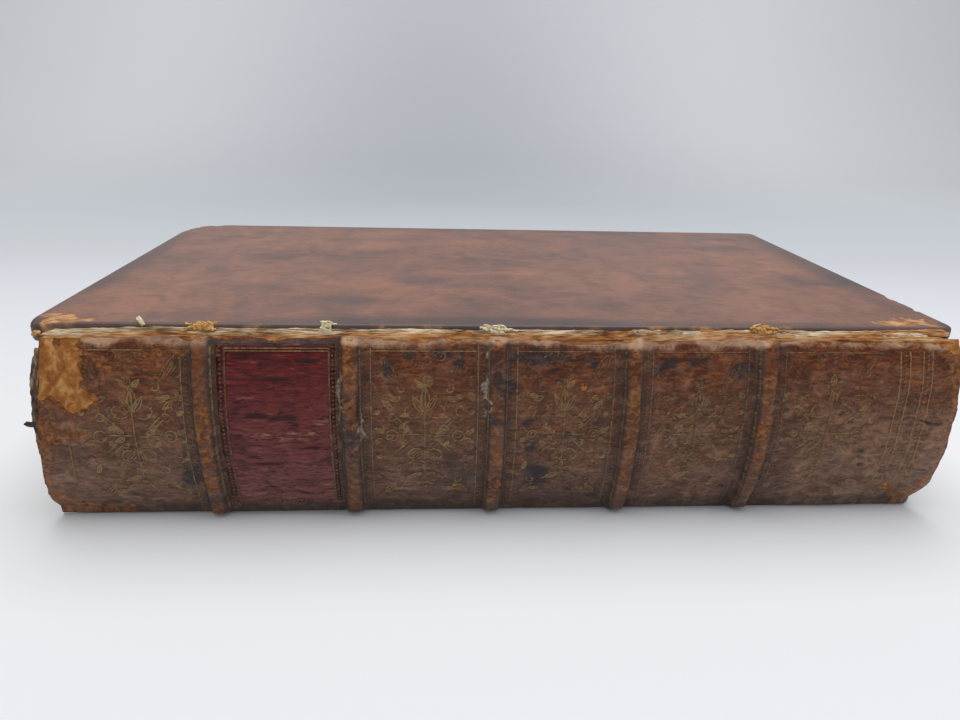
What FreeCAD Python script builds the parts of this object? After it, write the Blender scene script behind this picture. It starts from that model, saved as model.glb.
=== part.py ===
import FreeCAD, Part
import os
import re
import Sketcher

# An old calf-bound octavo, lying on its lower board with its back to the viewer.
# X runs along the back, from the head (-X) to the tail (+X). +Y runs from the back
# to the fore-edge, and +Z from the lower board to the upper one. The origin is the
# middle of the lower cover's outer face, where the book rests. Millimetres.

DRIVING_SIZES = {
    # Boards: pasteboard, covered in calf that is turned in on the inside
    "board_length": 210.6,
    "board_width": 114.6,
    "board_thickness": 2.6,
    "calf_thickness": 0.7,
    "turn_in_width": 12,
    "turn_in_thickness": 0.4,
    "paper_border": 9,
    "pastedown_thickness": 0.25,
    "corner_radius": 3,
    "worn_corner_radius": 13,
    "edge_rounding": 0.5,
    # The upper board has slipped a little on its cords, towards the head
    "upper_slip_to_head": 1.3,
    # Pages
    "pages_thickness": 40.6,
    "leaf_thickness": 0.2,
    "end_square": 4,
    "fore_edge_square": 4,
    "fore_edge_hollow": 3.5,
    "page_corner_radius": 5,
    # Rounded back
    "back_radius": 56,
    "back_calf_thickness": 0.8,
    "back_past_head": 1.5,
    "back_past_tail": 0.5,
    "back_edge_below_face": 2.2,
    "head_to_band_1": 37.7,
    "band_1_to_2": 32.3,
    "band_2_to_3": 33,
    "band_3_to_4": 31.2,
    "band_4_to_5": 31.5,
    "cord_radius": 1,
    "endband_radius": 1.1,
    "label_thickness": 0.25,
    "label_side_margin": 0.8,
    "label_end_margin": 2,
    # Ends of the three cords that are laced through the boards
    "slip_width": 4,
    "slip_thickness": 1.1,
    "slip_run": 14,
    "slip_tab": 7,
    "slip_tab_thickness": 0.5,
    # Clearances at the two joints
    "hinge_gap": 0.05,
    "shoulder_gap": 0.3,
}

WORKED_OUT = {
    "cover_length": "board_length + 2 * calf_thickness",
    "cover_width": "board_width + 2 * calf_thickness",
    "cover_thickness": "calf_thickness + board_thickness + pastedown_thickness",
    "joint_y": "-cover_width / 2",
    "pages_height": "cover_length - 2 * end_square",
    "block_bottom": "cover_thickness + hinge_gap",
    "pages_bottom": "block_bottom + leaf_thickness",
    "pages_top": "pages_bottom + pages_thickness",
    "block_top": "pages_top + leaf_thickness",
    "book_thickness": "block_top + hinge_gap + cover_thickness",
    "half_block": "(block_top - block_bottom) / 2",
    "half_back": "book_thickness / 2 - back_edge_below_face",
    "pages_radius": "back_radius - back_calf_thickness",
    "axis_height": "book_thickness / 2",
    "axis_y": "joint_y - shoulder_gap + sqrt(pages_radius ^ 2 - half_back ^ 2)",
    "band_1": "-cover_length / 2 - back_past_head + head_to_band_1",
    "band_2": "band_1 + band_1_to_2",
    "band_3": "band_2 + band_2_to_3",
    "band_4": "band_3 + band_3_to_4",
    "band_5": "band_4 + band_4_to_5",
    "cord_line_radius": "pages_radius + cord_radius",
    "band_profile_radius": "cord_radius + back_calf_thickness",
    "fore_edge_y": "cover_width / 2 - fore_edge_square",
    "hollow_radius": "(pages_thickness ^ 2 / 4 + fore_edge_hollow ^ 2) / (2 * fore_edge_hollow)",
    "sweep_angle": "2 * asin((half_back + band_profile_radius) / pages_radius)",
    "cord_angle": "2 * asin((half_back - shoulder_gap) / (cord_line_radius + cord_radius))",
    "label_angle": "2 * asin((half_back - label_end_margin) / back_radius)",
    "endband_line_radius": "pages_radius - endband_radius",
    "hole_y": "slip_run - slip_width",
}

LACED_BANDS = (1, 3, 5)
BAND_NUMBERS = (1, 2, 3, 4, 5)
# How far off its formula an edge's middle may lie and still be that edge
EDGE_TOLERANCE = 0.01

document = FreeCAD.newDocument("calf_octavo")
sheet = document.addObject("Spreadsheet::Sheet", "Sizes")


def fill_sheet():
    """Writes the driving sizes as plain numbers, and under them what follows from them."""
    row = 0
    for name, size in DRIVING_SIZES.items():
        row += 1
        sheet.set(f"A{row}", name)
        sheet.set(f"B{row}", str(size))
        sheet.setAlias(f"B{row}", name)
    for name, text in WORKED_OUT.items():
        row += 1
        sheet.set(f"A{row}", name)
        sheet.set(f"B{row}", f"={text}")
        sheet.setAlias(f"B{row}", name)
    document.recompute()


def formula(text):
    """Puts the sheet's name before each of its aliases in a formula, for use outside the sheet."""
    known = set(DRIVING_SIZES) | set(WORKED_OUT)
    return re.sub(r"[a-z]\w*", lambda word: f"Sizes.{word[0]}" if word[0] in known else word[0], text)


def number(text):
    """The value of a formula of sheet names, now."""
    result = sheet.evalExpression(formula(text))
    return float(getattr(result, "Value", result))


def place(thing, x="0", y="0", z="0"):
    """Ties an object's position to formulas."""
    for axis, text in (("x", x), ("y", y), ("z", z)):
        thing.setExpression(f"Placement.Base.{axis}", formula(text))


def place_on_back_axis(thing):
    """Puts an object's own X axis on the line that the rounded back is turned about."""
    place(thing, "0", "axis_y", "axis_height")


def body(name):
    """An empty body with a name."""
    made = document.addObject("PartDesign::Body", name)
    made.Label = name
    return made


def new_sketch(owner, name, plane):
    """A sketch on one of the body's own origin planes."""
    made = owner.newObject("Sketcher::SketchObject", name)
    support = next(item for item in owner.Origin.OriginFeatures if item.Role == plane)
    made.AttachmentSupport = [(support, "")]
    made.MapMode = "FlatFace"
    return made


def pin_point(sketch, geometry, point, x, y):
    """Holds one sketch point at two formulas, measured from the sketch's origin."""
    for kind, text in (("DistanceX", x), ("DistanceY", y)):
        index = sketch.addConstraint(Sketcher.Constraint(kind, -1, 1, geometry, point, number(text)))
        sketch.setExpression(f"Constraints[{index}]", formula(text))


def set_radius(sketch, geometry, text):
    """Ties an arc's or a circle's radius to a formula."""
    index = sketch.addConstraint(Sketcher.Constraint("Radius", geometry, number(text)))
    sketch.setExpression(f"Constraints[{index}]", formula(text))


def rectangle(owner, name, plane, low, high):
    """A rectangle between two corners, each a pair of formulas."""
    sketch = new_sketch(owner, name, plane)
    corners = [(low[0], low[1]), (high[0], low[1]), (high[0], high[1]), (low[0], high[1])]
    spots = [FreeCAD.Vector(number(x), number(y), 0) for x, y in corners]
    for index in range(4):
        sketch.addGeometry(Part.LineSegment(spots[index], spots[(index + 1) % 4]))
    for index in range(4):
        sketch.addConstraint(Sketcher.Constraint("Coincident", index, 2, (index + 1) % 4, 1))
    for index, (x, y) in enumerate(corners):
        pin_point(sketch, index, 1, x, y)
    return sketch


def disc(owner, name, plane, x, y, radius):
    """A circle with its centre at two formulas."""
    sketch = new_sketch(owner, name, plane)
    centre = FreeCAD.Vector(number(x), number(y), 0)
    sketch.addGeometry(Part.Circle(centre, FreeCAD.Vector(0, 0, 1), number(radius)))
    pin_point(sketch, 0, 3, x, y)
    set_radius(sketch, 0, radius)
    return sketch


def pad(owner, name, sketch, length, symmetric=False):
    """Raises a sketch by a formula, from its plane or half to each side of it."""
    made = owner.newObject("PartDesign::Pad", name)
    made.Profile = sketch
    made.SideType = "Symmetric" if symmetric else "One side"
    made.setExpression("Length", formula(length))
    return made


def turned(owner, kind, name, sketch, angle):
    """Sweeps a sketch about its own X axis, by the same angle to both sides."""
    made = owner.newObject(f"PartDesign::{kind}", name)
    made.Profile = sketch
    made.ReferenceAxis = (sketch, ["H_Axis"])
    made.Midplane = True
    made.setExpression("Angle", formula(angle))
    return made


def edges_where(shape, test):
    """Names of the edges whose middle point passes a test."""
    names = []
    for index, edge in enumerate(shape.Edges, start=1):
        middle = edge.valueAt((edge.FirstParameter + edge.LastParameter) / 2)
        if test(middle):
            names.append(f"Edge{index}")
    return names


def fillet(owner, name, base, test, radius):
    """Rounds the edges of a feature whose middle point passes a test."""
    document.recompute()
    made = owner.newObject("PartDesign::Fillet", name)
    made.Base = (base, edges_where(base.Shape, test))
    made.setExpression("Radius", formula(radius))
    return made


def near(value, text):
    """Whether a value is that of a formula."""
    return abs(value - number(text)) < EDGE_TOLERANCE


def box(name, low, size):
    """A plain block from its low corner and its size, all formulas."""
    made = document.addObject("Part::Box", name)
    for dimension, text in zip(("Length", "Width", "Height"), size):
        made.setExpression(dimension, formula(text))
    place(made, *low)
    return made


def joined(name, pieces):
    """Several objects as one."""
    made = document.addObject("Part::MultiFuse", name)
    made.Shapes = pieces
    return made


def cut(name, base, tool):
    """One object with another taken away from it."""
    made = document.addObject("Part::Cut", name)
    made.Label = name
    made.Base = base
    made.Tool = tool
    return made


def make_pages():
    """The sewn sections as one block: round at the back, hollow at the fore-edge."""
    pages = body("text_block")
    sketch = new_sketch(pages, "pages_section", "YZ_Plane")
    half = "pages_thickness / 2"
    fore_edge = "fore_edge_y - axis_y"
    back_corner_y = number(f"-sqrt(pages_radius ^ 2 - ({half}) ^ 2)")
    low_back = FreeCAD.Vector(back_corner_y, -number(half), 0)
    high_back = FreeCAD.Vector(back_corner_y, number(half), 0)
    low_fore = FreeCAD.Vector(number(fore_edge), -number(half), 0)
    high_fore = FreeCAD.Vector(number(fore_edge), number(half), 0)
    deepest = FreeCAD.Vector(number(f"{fore_edge} - fore_edge_hollow"), 0, 0)
    furthest = FreeCAD.Vector(number("-pages_radius"), 0, 0)
    sketch.addGeometry(Part.LineSegment(low_back, low_fore))
    sketch.addGeometry(Part.Arc(low_fore, deepest, high_fore))
    sketch.addGeometry(Part.LineSegment(high_fore, high_back))
    sketch.addGeometry(Part.Arc(high_back, furthest, low_back))
    # Part.Arc keeps its ends in the turning direction, so each joint is found by distance
    joints = ((0, low_fore, 1), (1, high_fore, 2), (2, high_back, 3), (3, low_back, 0))
    for first, spot, second in joints:
        first_end = min((1, 2), key=lambda end: sketch.getPoint(first, end).distanceToPoint(spot))
        second_end = min((1, 2), key=lambda end: sketch.getPoint(second, end).distanceToPoint(spot))
        sketch.addConstraint(
            Sketcher.Constraint("Coincident", first, first_end, second, second_end))
    sketch.addConstraint(Sketcher.Constraint("Coincident", 3, 3, -1, 1))
    set_radius(sketch, 3, "pages_radius")
    set_radius(sketch, 1, "hollow_radius")
    pin_point(sketch, 0, 2, fore_edge, "-pages_thickness / 2")
    pin_point(sketch, 2, 1, fore_edge, half)
    for line in (0, 2):
        sketch.addConstraint(Sketcher.Constraint("Horizontal", line))
    block = pad(pages, "pages_pad", sketch, "pages_height", symmetric=True)
    fillet(pages, "pages_worn_corners", block,
           lambda spot: near(abs(spot.x), "pages_height / 2")
           and near(spot.y, f"{fore_edge} - fore_edge_hollow"),
           "page_corner_radius")
    place_on_back_axis(pages)
    return pages


def make_flyleaf(name, bottom):
    """A loose blank leaf on one side of the pages."""
    leaf = body(name)
    half = "pages_height / 2"
    back = "axis_y - sqrt(pages_radius ^ 2 - half_block ^ 2)"
    sketch = rectangle(leaf, f"{name}_outline", "XY_Plane",
                       (f"-{half}", back), (half, "fore_edge_y"))
    sheet_pad = pad(leaf, f"{name}_pad", sketch, "leaf_thickness")
    fillet(leaf, f"{name}_corners", sheet_pad,
           lambda spot: near(abs(spot.x), half) and near(spot.y, "fore_edge_y"),
           "page_corner_radius")
    place(leaf, z=bottom)
    return leaf


def make_back_calf():
    """The calf on the rounded back: a turned shell, lifted over five cords."""
    shell = body("back_shell")
    sketch = rectangle(shell, "back_section", "XY_Plane",
                       ("-cover_length / 2 - back_past_head", "-back_radius"),
                       ("cover_length / 2 + back_past_tail", "-pages_radius"))
    turned(shell, "Revolution", "back_turned", sketch, "sweep_angle")
    for band in BAND_NUMBERS:
        ridge = disc(shell, f"band_{band}_ridge", "XY_Plane",
                     f"band_{band}", "-cord_line_radius", "band_profile_radius")
        turned(shell, "Revolution", f"band_{band}_raised", ridge, "sweep_angle")
    inside = rectangle(shell, "inside_section", "XY_Plane",
                       ("-cover_length / 2 - back_past_head", "-pages_radius"),
                       ("cover_length / 2 + back_past_tail",
                        "-pages_radius + 2 * band_profile_radius"))
    turned(shell, "Groove", "inside_clear", inside, "sweep_angle")
    for band in BAND_NUMBERS:
        channel = disc(shell, f"band_{band}_channel", "XY_Plane",
                       f"band_{band}", "-cord_line_radius", "cord_radius")
        turned(shell, "Groove", f"band_{band}_hollow", channel, "sweep_angle")
    place_on_back_axis(shell)
    slab = box("between_the_joints",
               ("-cover_length", "axis_y - 2 * back_radius", "back_edge_below_face"),
               ("2 * cover_length", "2 * back_radius", "2 * half_back"))
    calf = document.addObject("Part::Common", "spine_leather")
    calf.Label = "spine_leather"
    calf.Base = shell
    calf.Tool = slab
    return calf


def make_ring_piece(name, x, line_radius, radius, angle):
    """A round cord bent along the back."""
    piece = body(name)
    sketch = disc(piece, f"{name}_section", "XY_Plane", x, f"-{line_radius}", radius)
    turned(piece, "Revolution", f"{name}_turned", sketch, angle)
    place_on_back_axis(piece)
    return piece


def make_label():
    """The thin leather label, pasted between the first two bands."""
    label = body("title_label")
    edge = "band_profile_radius + label_side_margin"
    sketch = rectangle(label, "label_section", "XY_Plane",
                       (f"band_1 + {edge}", "-back_radius - label_thickness"),
                       (f"band_2 - ({edge})", "-back_radius"))
    turned(label, "Revolution", "label_turned", sketch, "label_angle")
    place_on_back_axis(label)
    return label


def make_slip(name, band, side):
    """A cord's end, laced over a board's back edge, along its outer face, through a hole
    and out flat on the inside."""
    edge = "joint_y + calf_thickness"
    left = f"band_{band} - slip_width / 2"
    drop = box(f"{name}_drop", (left, edge, side.low("0", "board_thickness")),
               ("slip_width", "slip_thickness", "board_thickness"))
    run = box(f"{name}_run", (left, edge, side.low("board_thickness - slip_thickness",
                                                   "slip_thickness")),
              ("slip_width", "slip_run", "slip_thickness"))
    through = box(f"{name}_through", (left, f"{edge} + hole_y", side.low("0", "board_thickness")),
                  ("slip_width", "slip_width", "board_thickness"))
    tab = box(f"{name}_tab", (left, f"{edge} + hole_y", side.low("0", "slip_tab_thickness")),
              ("slip_width", "slip_width + slip_tab", "slip_tab_thickness"))
    slip = joined(name, [drop, run, through, tab])
    slip.Label = name
    return slip


class Side:
    """Where one cover lies along the back, and how its layers stack."""

    def __init__(self, name, middle_x, inner_face, outward, worn_radius):
        self.name = name
        self.middle_x = middle_x
        self.board_inner = inner_face
        self.outward = outward
        self.worn_radius = worn_radius

    def low(self, from_inner_face, thickness):
        """The low Z of a layer that starts some way out from the board's inner face."""
        if self.outward > 0:
            return f"{self.board_inner} + ({from_inner_face})"
        return f"{self.board_inner} - ({from_inner_face}) - ({thickness})"


def make_plate(name, side, inset, thickness, worn_inset):
    """A cover-shaped plate, inset from the cover's outline, from the board's inner face out."""
    plate = body(name)
    half_x = f"cover_length / 2 - {inset}"
    half_y = f"cover_width / 2 - {inset}"
    sketch = rectangle(plate, f"{name}_outline", "XY_Plane",
                       (f"-({half_x})", f"-({half_y})"), (half_x, half_y))
    slab = pad(plate, f"{name}_pad", sketch, thickness)
    worn = fillet(plate, f"{name}_worn_corner", slab,
                  lambda spot: near(spot.x, f"-({half_x})") and near(spot.y, half_y),
                  f"{side.worn_radius} - {worn_inset}")
    rounded = fillet(plate, f"{name}_corners", worn,
                     lambda spot: near(abs(spot.x), half_x) and near(abs(spot.y), half_y),
                     f"corner_radius - {worn_inset}")
    place(plate, side.middle_x, "0", side.low("0", thickness))
    return plate, rounded


def make_cover(side):
    """One cover: pasteboard, its calf, the pastedown, and the laced ends of three cords."""
    slips = [make_slip(f"{side.name}_slip_{band}", band, side) for band in LACED_BANDS]
    lacing = joined(f"{side.name}_lacing", slips)
    skin, outline = make_plate(f"{side.name}_skin", side, "0",
                               "board_thickness + calf_thickness", "0")
    outer_face = "board_thickness + calf_thickness" if side.outward > 0 else "0"
    fillet(skin, f"{side.name}_skin_edges", outline,
           lambda spot: near(spot.z, outer_face), "edge_rounding")
    core, _ = make_plate(f"{side.name}_core", side, "calf_thickness", "board_thickness",
                         "calf_thickness")
    # The turned-in calf is pared thin and lies in a shallow step round three sides
    frame = box(f"{side.name}_step_blank",
                (f"{side.middle_x} - cover_length / 2", "joint_y",
                 side.low("0", "turn_in_thickness")),
                ("cover_length", "cover_width", "turn_in_thickness"))
    field = box(f"{side.name}_step_field",
                (f"{side.middle_x} - cover_length / 2 + turn_in_width", "joint_y",
                 side.low("0", "turn_in_thickness")),
                ("cover_length - 2 * turn_in_width", "cover_width - turn_in_width",
                 "turn_in_thickness"))
    step = cut(f"{side.name}_step", frame, field)
    stepped = cut(f"{side.name}_stepped_core", core, step)
    board = cut(f"{side.name}_board", stepped, lacing)
    inside = joined(f"{side.name}_inside", [board, lacing])
    calf = cut(f"{side.name}_leather", skin, inside)
    paper = body(f"{side.name}_pastedown")
    half_x = "cover_length / 2 - paper_border"
    sketch = rectangle(paper, f"{side.name}_paper_outline", "XY_Plane",
                       (f"-({half_x})", "-cover_width / 2 + calf_thickness"),
                       (half_x, "cover_width / 2 - paper_border"))
    pad(paper, f"{side.name}_paper_pad", sketch, "pastedown_thickness")
    place(paper, side.middle_x, "0", side.low("-pastedown_thickness", "pastedown_thickness"))
    return [board, calf, paper] + slips


fill_sheet()
lower = Side("lower", "0", "calf_thickness + board_thickness", -1, "corner_radius")
upper = Side("upper", "-upper_slip_to_head",
             "block_top + hinge_gap + pastedown_thickness", 1, "worn_corner_radius")

subparts = [make_pages(), make_flyleaf("front_flyleaf", "pages_top"),
            make_flyleaf("rear_flyleaf", "block_bottom"), make_back_calf(), make_label()]
for band_number in BAND_NUMBERS:
    subparts.append(make_ring_piece(f"sewing_cord_{band_number}", f"band_{band_number}",
                                    "cord_line_radius", "cord_radius", "cord_angle"))
for end_name, end_x in (("head", "-pages_height / 2 - endband_radius"),
                        ("tail", "pages_height / 2 + endband_radius")):
    subparts.append(make_ring_piece(f"{end_name}_endband", end_x,
                                    "endband_line_radius", "endband_radius", "label_angle"))
for one_side in (lower, upper):
    subparts.extend(make_cover(one_side))

document.recompute()
for thing in document.Objects:
    if "Invalid" in thing.State or "Error" in thing.State:
        raise RuntimeError(f"{thing.Label} failed: {thing.State}")
for subpart in subparts:
    if subpart.Shape.isNull() or not subpart.Shape.isValid():
        raise RuntimeError(f"{subpart.Label} has no valid shape")
    if len(subpart.Shape.Solids) != 1:
        raise RuntimeError(f"{subpart.Label} has {len(subpart.Shape.Solids)} solids")

os.makedirs("parts", exist_ok=True)
for subpart in subparts:
    subpart.Shape.exportStep(f"parts/{subpart.Label}.step")
    extent = subpart.Shape.BoundBox
    print(f"{subpart.Label}: {subpart.Shape.Volume:.1f} mm3, "
          f"x {extent.XMin:.2f} {extent.XMax:.2f}, y {extent.YMin:.2f} {extent.YMax:.2f}, "
          f"z {extent.ZMin:.2f} {extent.ZMax:.2f}")
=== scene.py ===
"""An antique book in full calf, lying on a pale table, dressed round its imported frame.

The book lies on its lower cover. X runs along the back from head to tail, Y from the back to
the fore-edge and Z up. Every size in the classes is in millimetres; meshes are in metres.
"""

import logging
import math
from collections.abc import Sequence
from dataclasses import dataclass, field
from enum import Enum

import bpy
import numpy as np
from mathutils import Matrix, Vector


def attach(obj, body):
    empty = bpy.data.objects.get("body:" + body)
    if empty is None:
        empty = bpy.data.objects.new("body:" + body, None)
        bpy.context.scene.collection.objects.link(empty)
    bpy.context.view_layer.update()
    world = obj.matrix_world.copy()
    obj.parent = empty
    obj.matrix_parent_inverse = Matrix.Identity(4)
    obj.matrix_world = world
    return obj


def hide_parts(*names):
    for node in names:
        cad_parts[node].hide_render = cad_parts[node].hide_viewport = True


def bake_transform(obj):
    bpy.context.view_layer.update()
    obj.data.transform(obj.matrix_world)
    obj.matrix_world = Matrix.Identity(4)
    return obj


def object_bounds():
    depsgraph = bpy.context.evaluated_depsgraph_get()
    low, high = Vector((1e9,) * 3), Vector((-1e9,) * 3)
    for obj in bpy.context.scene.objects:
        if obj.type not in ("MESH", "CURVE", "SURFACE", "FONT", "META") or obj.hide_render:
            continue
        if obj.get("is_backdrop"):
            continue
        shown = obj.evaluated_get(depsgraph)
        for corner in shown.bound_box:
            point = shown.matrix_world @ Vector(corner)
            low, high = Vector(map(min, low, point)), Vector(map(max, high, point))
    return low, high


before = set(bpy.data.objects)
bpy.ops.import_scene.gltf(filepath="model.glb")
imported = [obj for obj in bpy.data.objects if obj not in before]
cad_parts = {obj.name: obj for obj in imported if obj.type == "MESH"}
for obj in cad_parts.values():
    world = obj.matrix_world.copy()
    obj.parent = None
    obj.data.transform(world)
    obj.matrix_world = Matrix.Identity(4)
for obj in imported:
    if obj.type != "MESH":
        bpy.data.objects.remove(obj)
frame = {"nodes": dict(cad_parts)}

CAD_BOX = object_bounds()
METRES = 0.001
PHOTO_WIDTH, SENSOR_WIDTH = 960, 36.0
LOG = logging.getLogger("book")
# The axis that the back is round about.
BACK_AXIS_Y, BACK_AXIS_Z = -7.63, 24.1
# Cell depth in millimetres of a pattern laid on a surface, where every point is at depth 0.
LAID_DEPTH = 9.0

Grid = np.ndarray
Line = np.ndarray
Route = tuple[tuple[float, float], ...]
Patches = tuple[Route, ...]
Socket = bpy.types.NodeSocket


# Small shared tools


def linear(colour: str) -> tuple[float, float, float, float]:
    """An sRGB hex colour, such as "#5E4337", as linear red, green, blue and full alpha."""
    parts = [int(colour[i : i + 2], 16) / 255 for i in (1, 3, 5)]
    return (*(c / 12.92 if c <= 0.04045 else ((c + 0.055) / 1.055) ** 2.4 for c in parts), 1.0)


def ease(low: float, high: float, value: Grid) -> Grid:
    """A smooth step from 0 at low to 1 at high."""
    t = np.clip((value - low) / (high - low), 0, 1)
    return t * t * (3 - 2 * t)


def route_at(route: Route, place: Grid) -> Grid:
    """The second coordinate of a route where its first is at a place."""
    return np.interp(place, *zip(*route))


def laid(x: Grid, v: Grid, depth: Grid | float = 0.0) -> Grid:
    """Where a finish's patterns lie on a bent surface, in metres."""
    return np.stack([x, v, np.broadcast_to(depth, x.shape)], -1) * METRES


@dataclass(frozen=True)
class Noise:
    """Smooth random fields over a plane, the same on every run."""

    seed: int

    def cells(self, a: Grid, b: Grid) -> Grid:
        """One layer of noise, from 0 to 1, whose cells are one unit wide."""
        table = np.random.default_rng(self.seed).random((256, 256))
        i, j = np.floor(a).astype(int), np.floor(b).astype(int)
        u, w = a - i, b - j
        u, w = u * u * (3 - 2 * u), w * w * (3 - 2 * w)
        i, j, i1, j1 = i % 256, j % 256, (i + 1) % 256, (j + 1) % 256
        near = table[i, j] * (1 - u) + table[i1, j] * u
        far = table[i, j1] * (1 - u) + table[i1, j1] * u
        return near * (1 - w) + far * w

    def __call__(self, a: Grid, b: Grid, wide: float, tall: float, layers: int = 3) -> Grid:
        """Layered noise.

        Args:
            a, b: places in millimetres.
            wide, tall: size of the largest cell along a and b.
            layers: how many finer layers are added.

        Returns:
            Values round 0, mostly from -0.5 to 0.5.
        """
        total, weight, size = 0.0, 1.0, 1.0
        for layer in range(layers):
            shift = 17.3 * layer
            total = total + weight * (self.cells(a / wide * size + shift, b / tall * size) - 0.5)
            weight, size = weight / 2, size * 2
        return total


def polygon_field(corners: Route, a: Grid, b: Grid, soft: float) -> Grid:
    """How far inside a polygon each place is.

    Args:
        corners: the polygon's corners, in order.
        a, b: places.
        soft: width over which the value goes from 0 to 1.

    Returns:
        1 well inside, 0 well outside.
    """
    distance = np.full(a.shape, 1e9)
    inside = np.zeros(a.shape, bool)
    for (x0, y0), (x1, y1) in zip(corners, [*corners[1:], corners[0]]):
        dx, dy = x1 - x0, y1 - y0
        t = np.clip(((a - x0) * dx + (b - y0) * dy) / (dx * dx + dy * dy), 0, 1)
        distance = np.minimum(distance, np.hypot(a - x0 - t * dx, b - y0 - t * dy))
        if dy:
            crosses = (b < y0) != (b < y1)
            inside ^= crosses & (a < x0 + dx * (b - y0) / dy)
    return ease(-soft / 2, soft / 2, np.where(inside, distance, -distance))


def patches_field(patches: Patches, a: Grid, b: Grid, soft: float) -> Grid:
    """How far inside any of several polygons each place is, from 0 to 1."""
    inside = [polygon_field(patch, a, b, soft) for patch in patches]
    return np.maximum.reduce([np.zeros(a.shape), *inside])


@dataclass(frozen=True)
class Spot:
    """A soft oval place: its middle, half its width and height, and its strength."""

    x: float
    y: float
    wide: float
    tall: float
    strength: float = 1.0


def spots_field(spots: Sequence[Spot], a: Grid, b: Grid, outer: float, inner: float) -> Grid:
    """How strongly spots mark each place.

    Args:
        spots: the spots.
        a, b: places.
        outer: where a spot begins, as a share of its half size.
        inner: where it has its full strength.

    Returns:
        0 outside all of them, up to the strongest spot's strength.
    """
    total = np.zeros(a.shape)
    for spot in spots:
        reach = np.hypot((a - spot.x) / spot.wide, (b - spot.y) / spot.tall)
        total = np.maximum(total, spot.strength * ease(outer, inner, reach))
    return total


def piece(
    name: str,
    points: Grid,
    faces: Sequence[Sequence[int]],
    material: bpy.types.Material,
    fields: dict[str, Grid] | None = None,
    smooth: bool = True,
) -> bpy.types.Object:
    """A new mesh object.

    Args:
        name: the piece's name.
        points: its vertices in millimetres, one row each.
        faces: vertex numbers of each face.
        material: its finish.
        fields: numbers, or vectors, kept on its vertices for the finish.
        smooth: whether its faces are shaded as one surface.

    Returns:
        The object, linked to the scene.
    """
    mesh = bpy.data.meshes.new(name)
    mesh.from_pydata((np.asarray(points, float) * METRES).tolist(), [], faces)
    for key, values in (fields or {}).items():
        values = np.asarray(values, np.float32)
        vector = values.ndim == 2
        layer = mesh.attributes.new(key, "FLOAT_VECTOR" if vector else "FLOAT", "POINT")
        layer.data.foreach_set("vector" if vector else "value", values.ravel())
    mesh.materials.append(material)
    mesh.polygons.foreach_set("use_smooth", [smooth] * len(mesh.polygons))
    mesh.validate()
    mesh.update()
    obj = bpy.data.objects.new(name, mesh)
    bpy.context.collection.objects.link(obj)
    LOG.info("%s: %d faces", name, len(mesh.polygons))
    return obj


def loft_faces(rows: int, ring: int) -> list[list[int]]:
    """Faces of a closed ring of vertices carried along rows, with both ends filled.

    Args:
        rows: number of rings.
        ring: vertices in each ring.

    Returns:
        Vertex numbers of each face.
    """
    i, j = np.meshgrid(np.arange(rows - 1), np.arange(ring), indexing="ij")
    a, b = i * ring + j, i * ring + (j + 1) % ring
    sides = np.stack([a, a + ring, b + ring, b], -1).reshape(-1, 4).tolist()
    far_end = [(rows - 1) * ring + k for k in reversed(range(ring))]
    return [*sides, list(range(ring)), far_end]


# Finishes


class Place(Enum):
    """Where a pattern lies: on the whole object, or laid along a bent surface."""

    OBJECT = "object"
    LAID = "lay"


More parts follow.
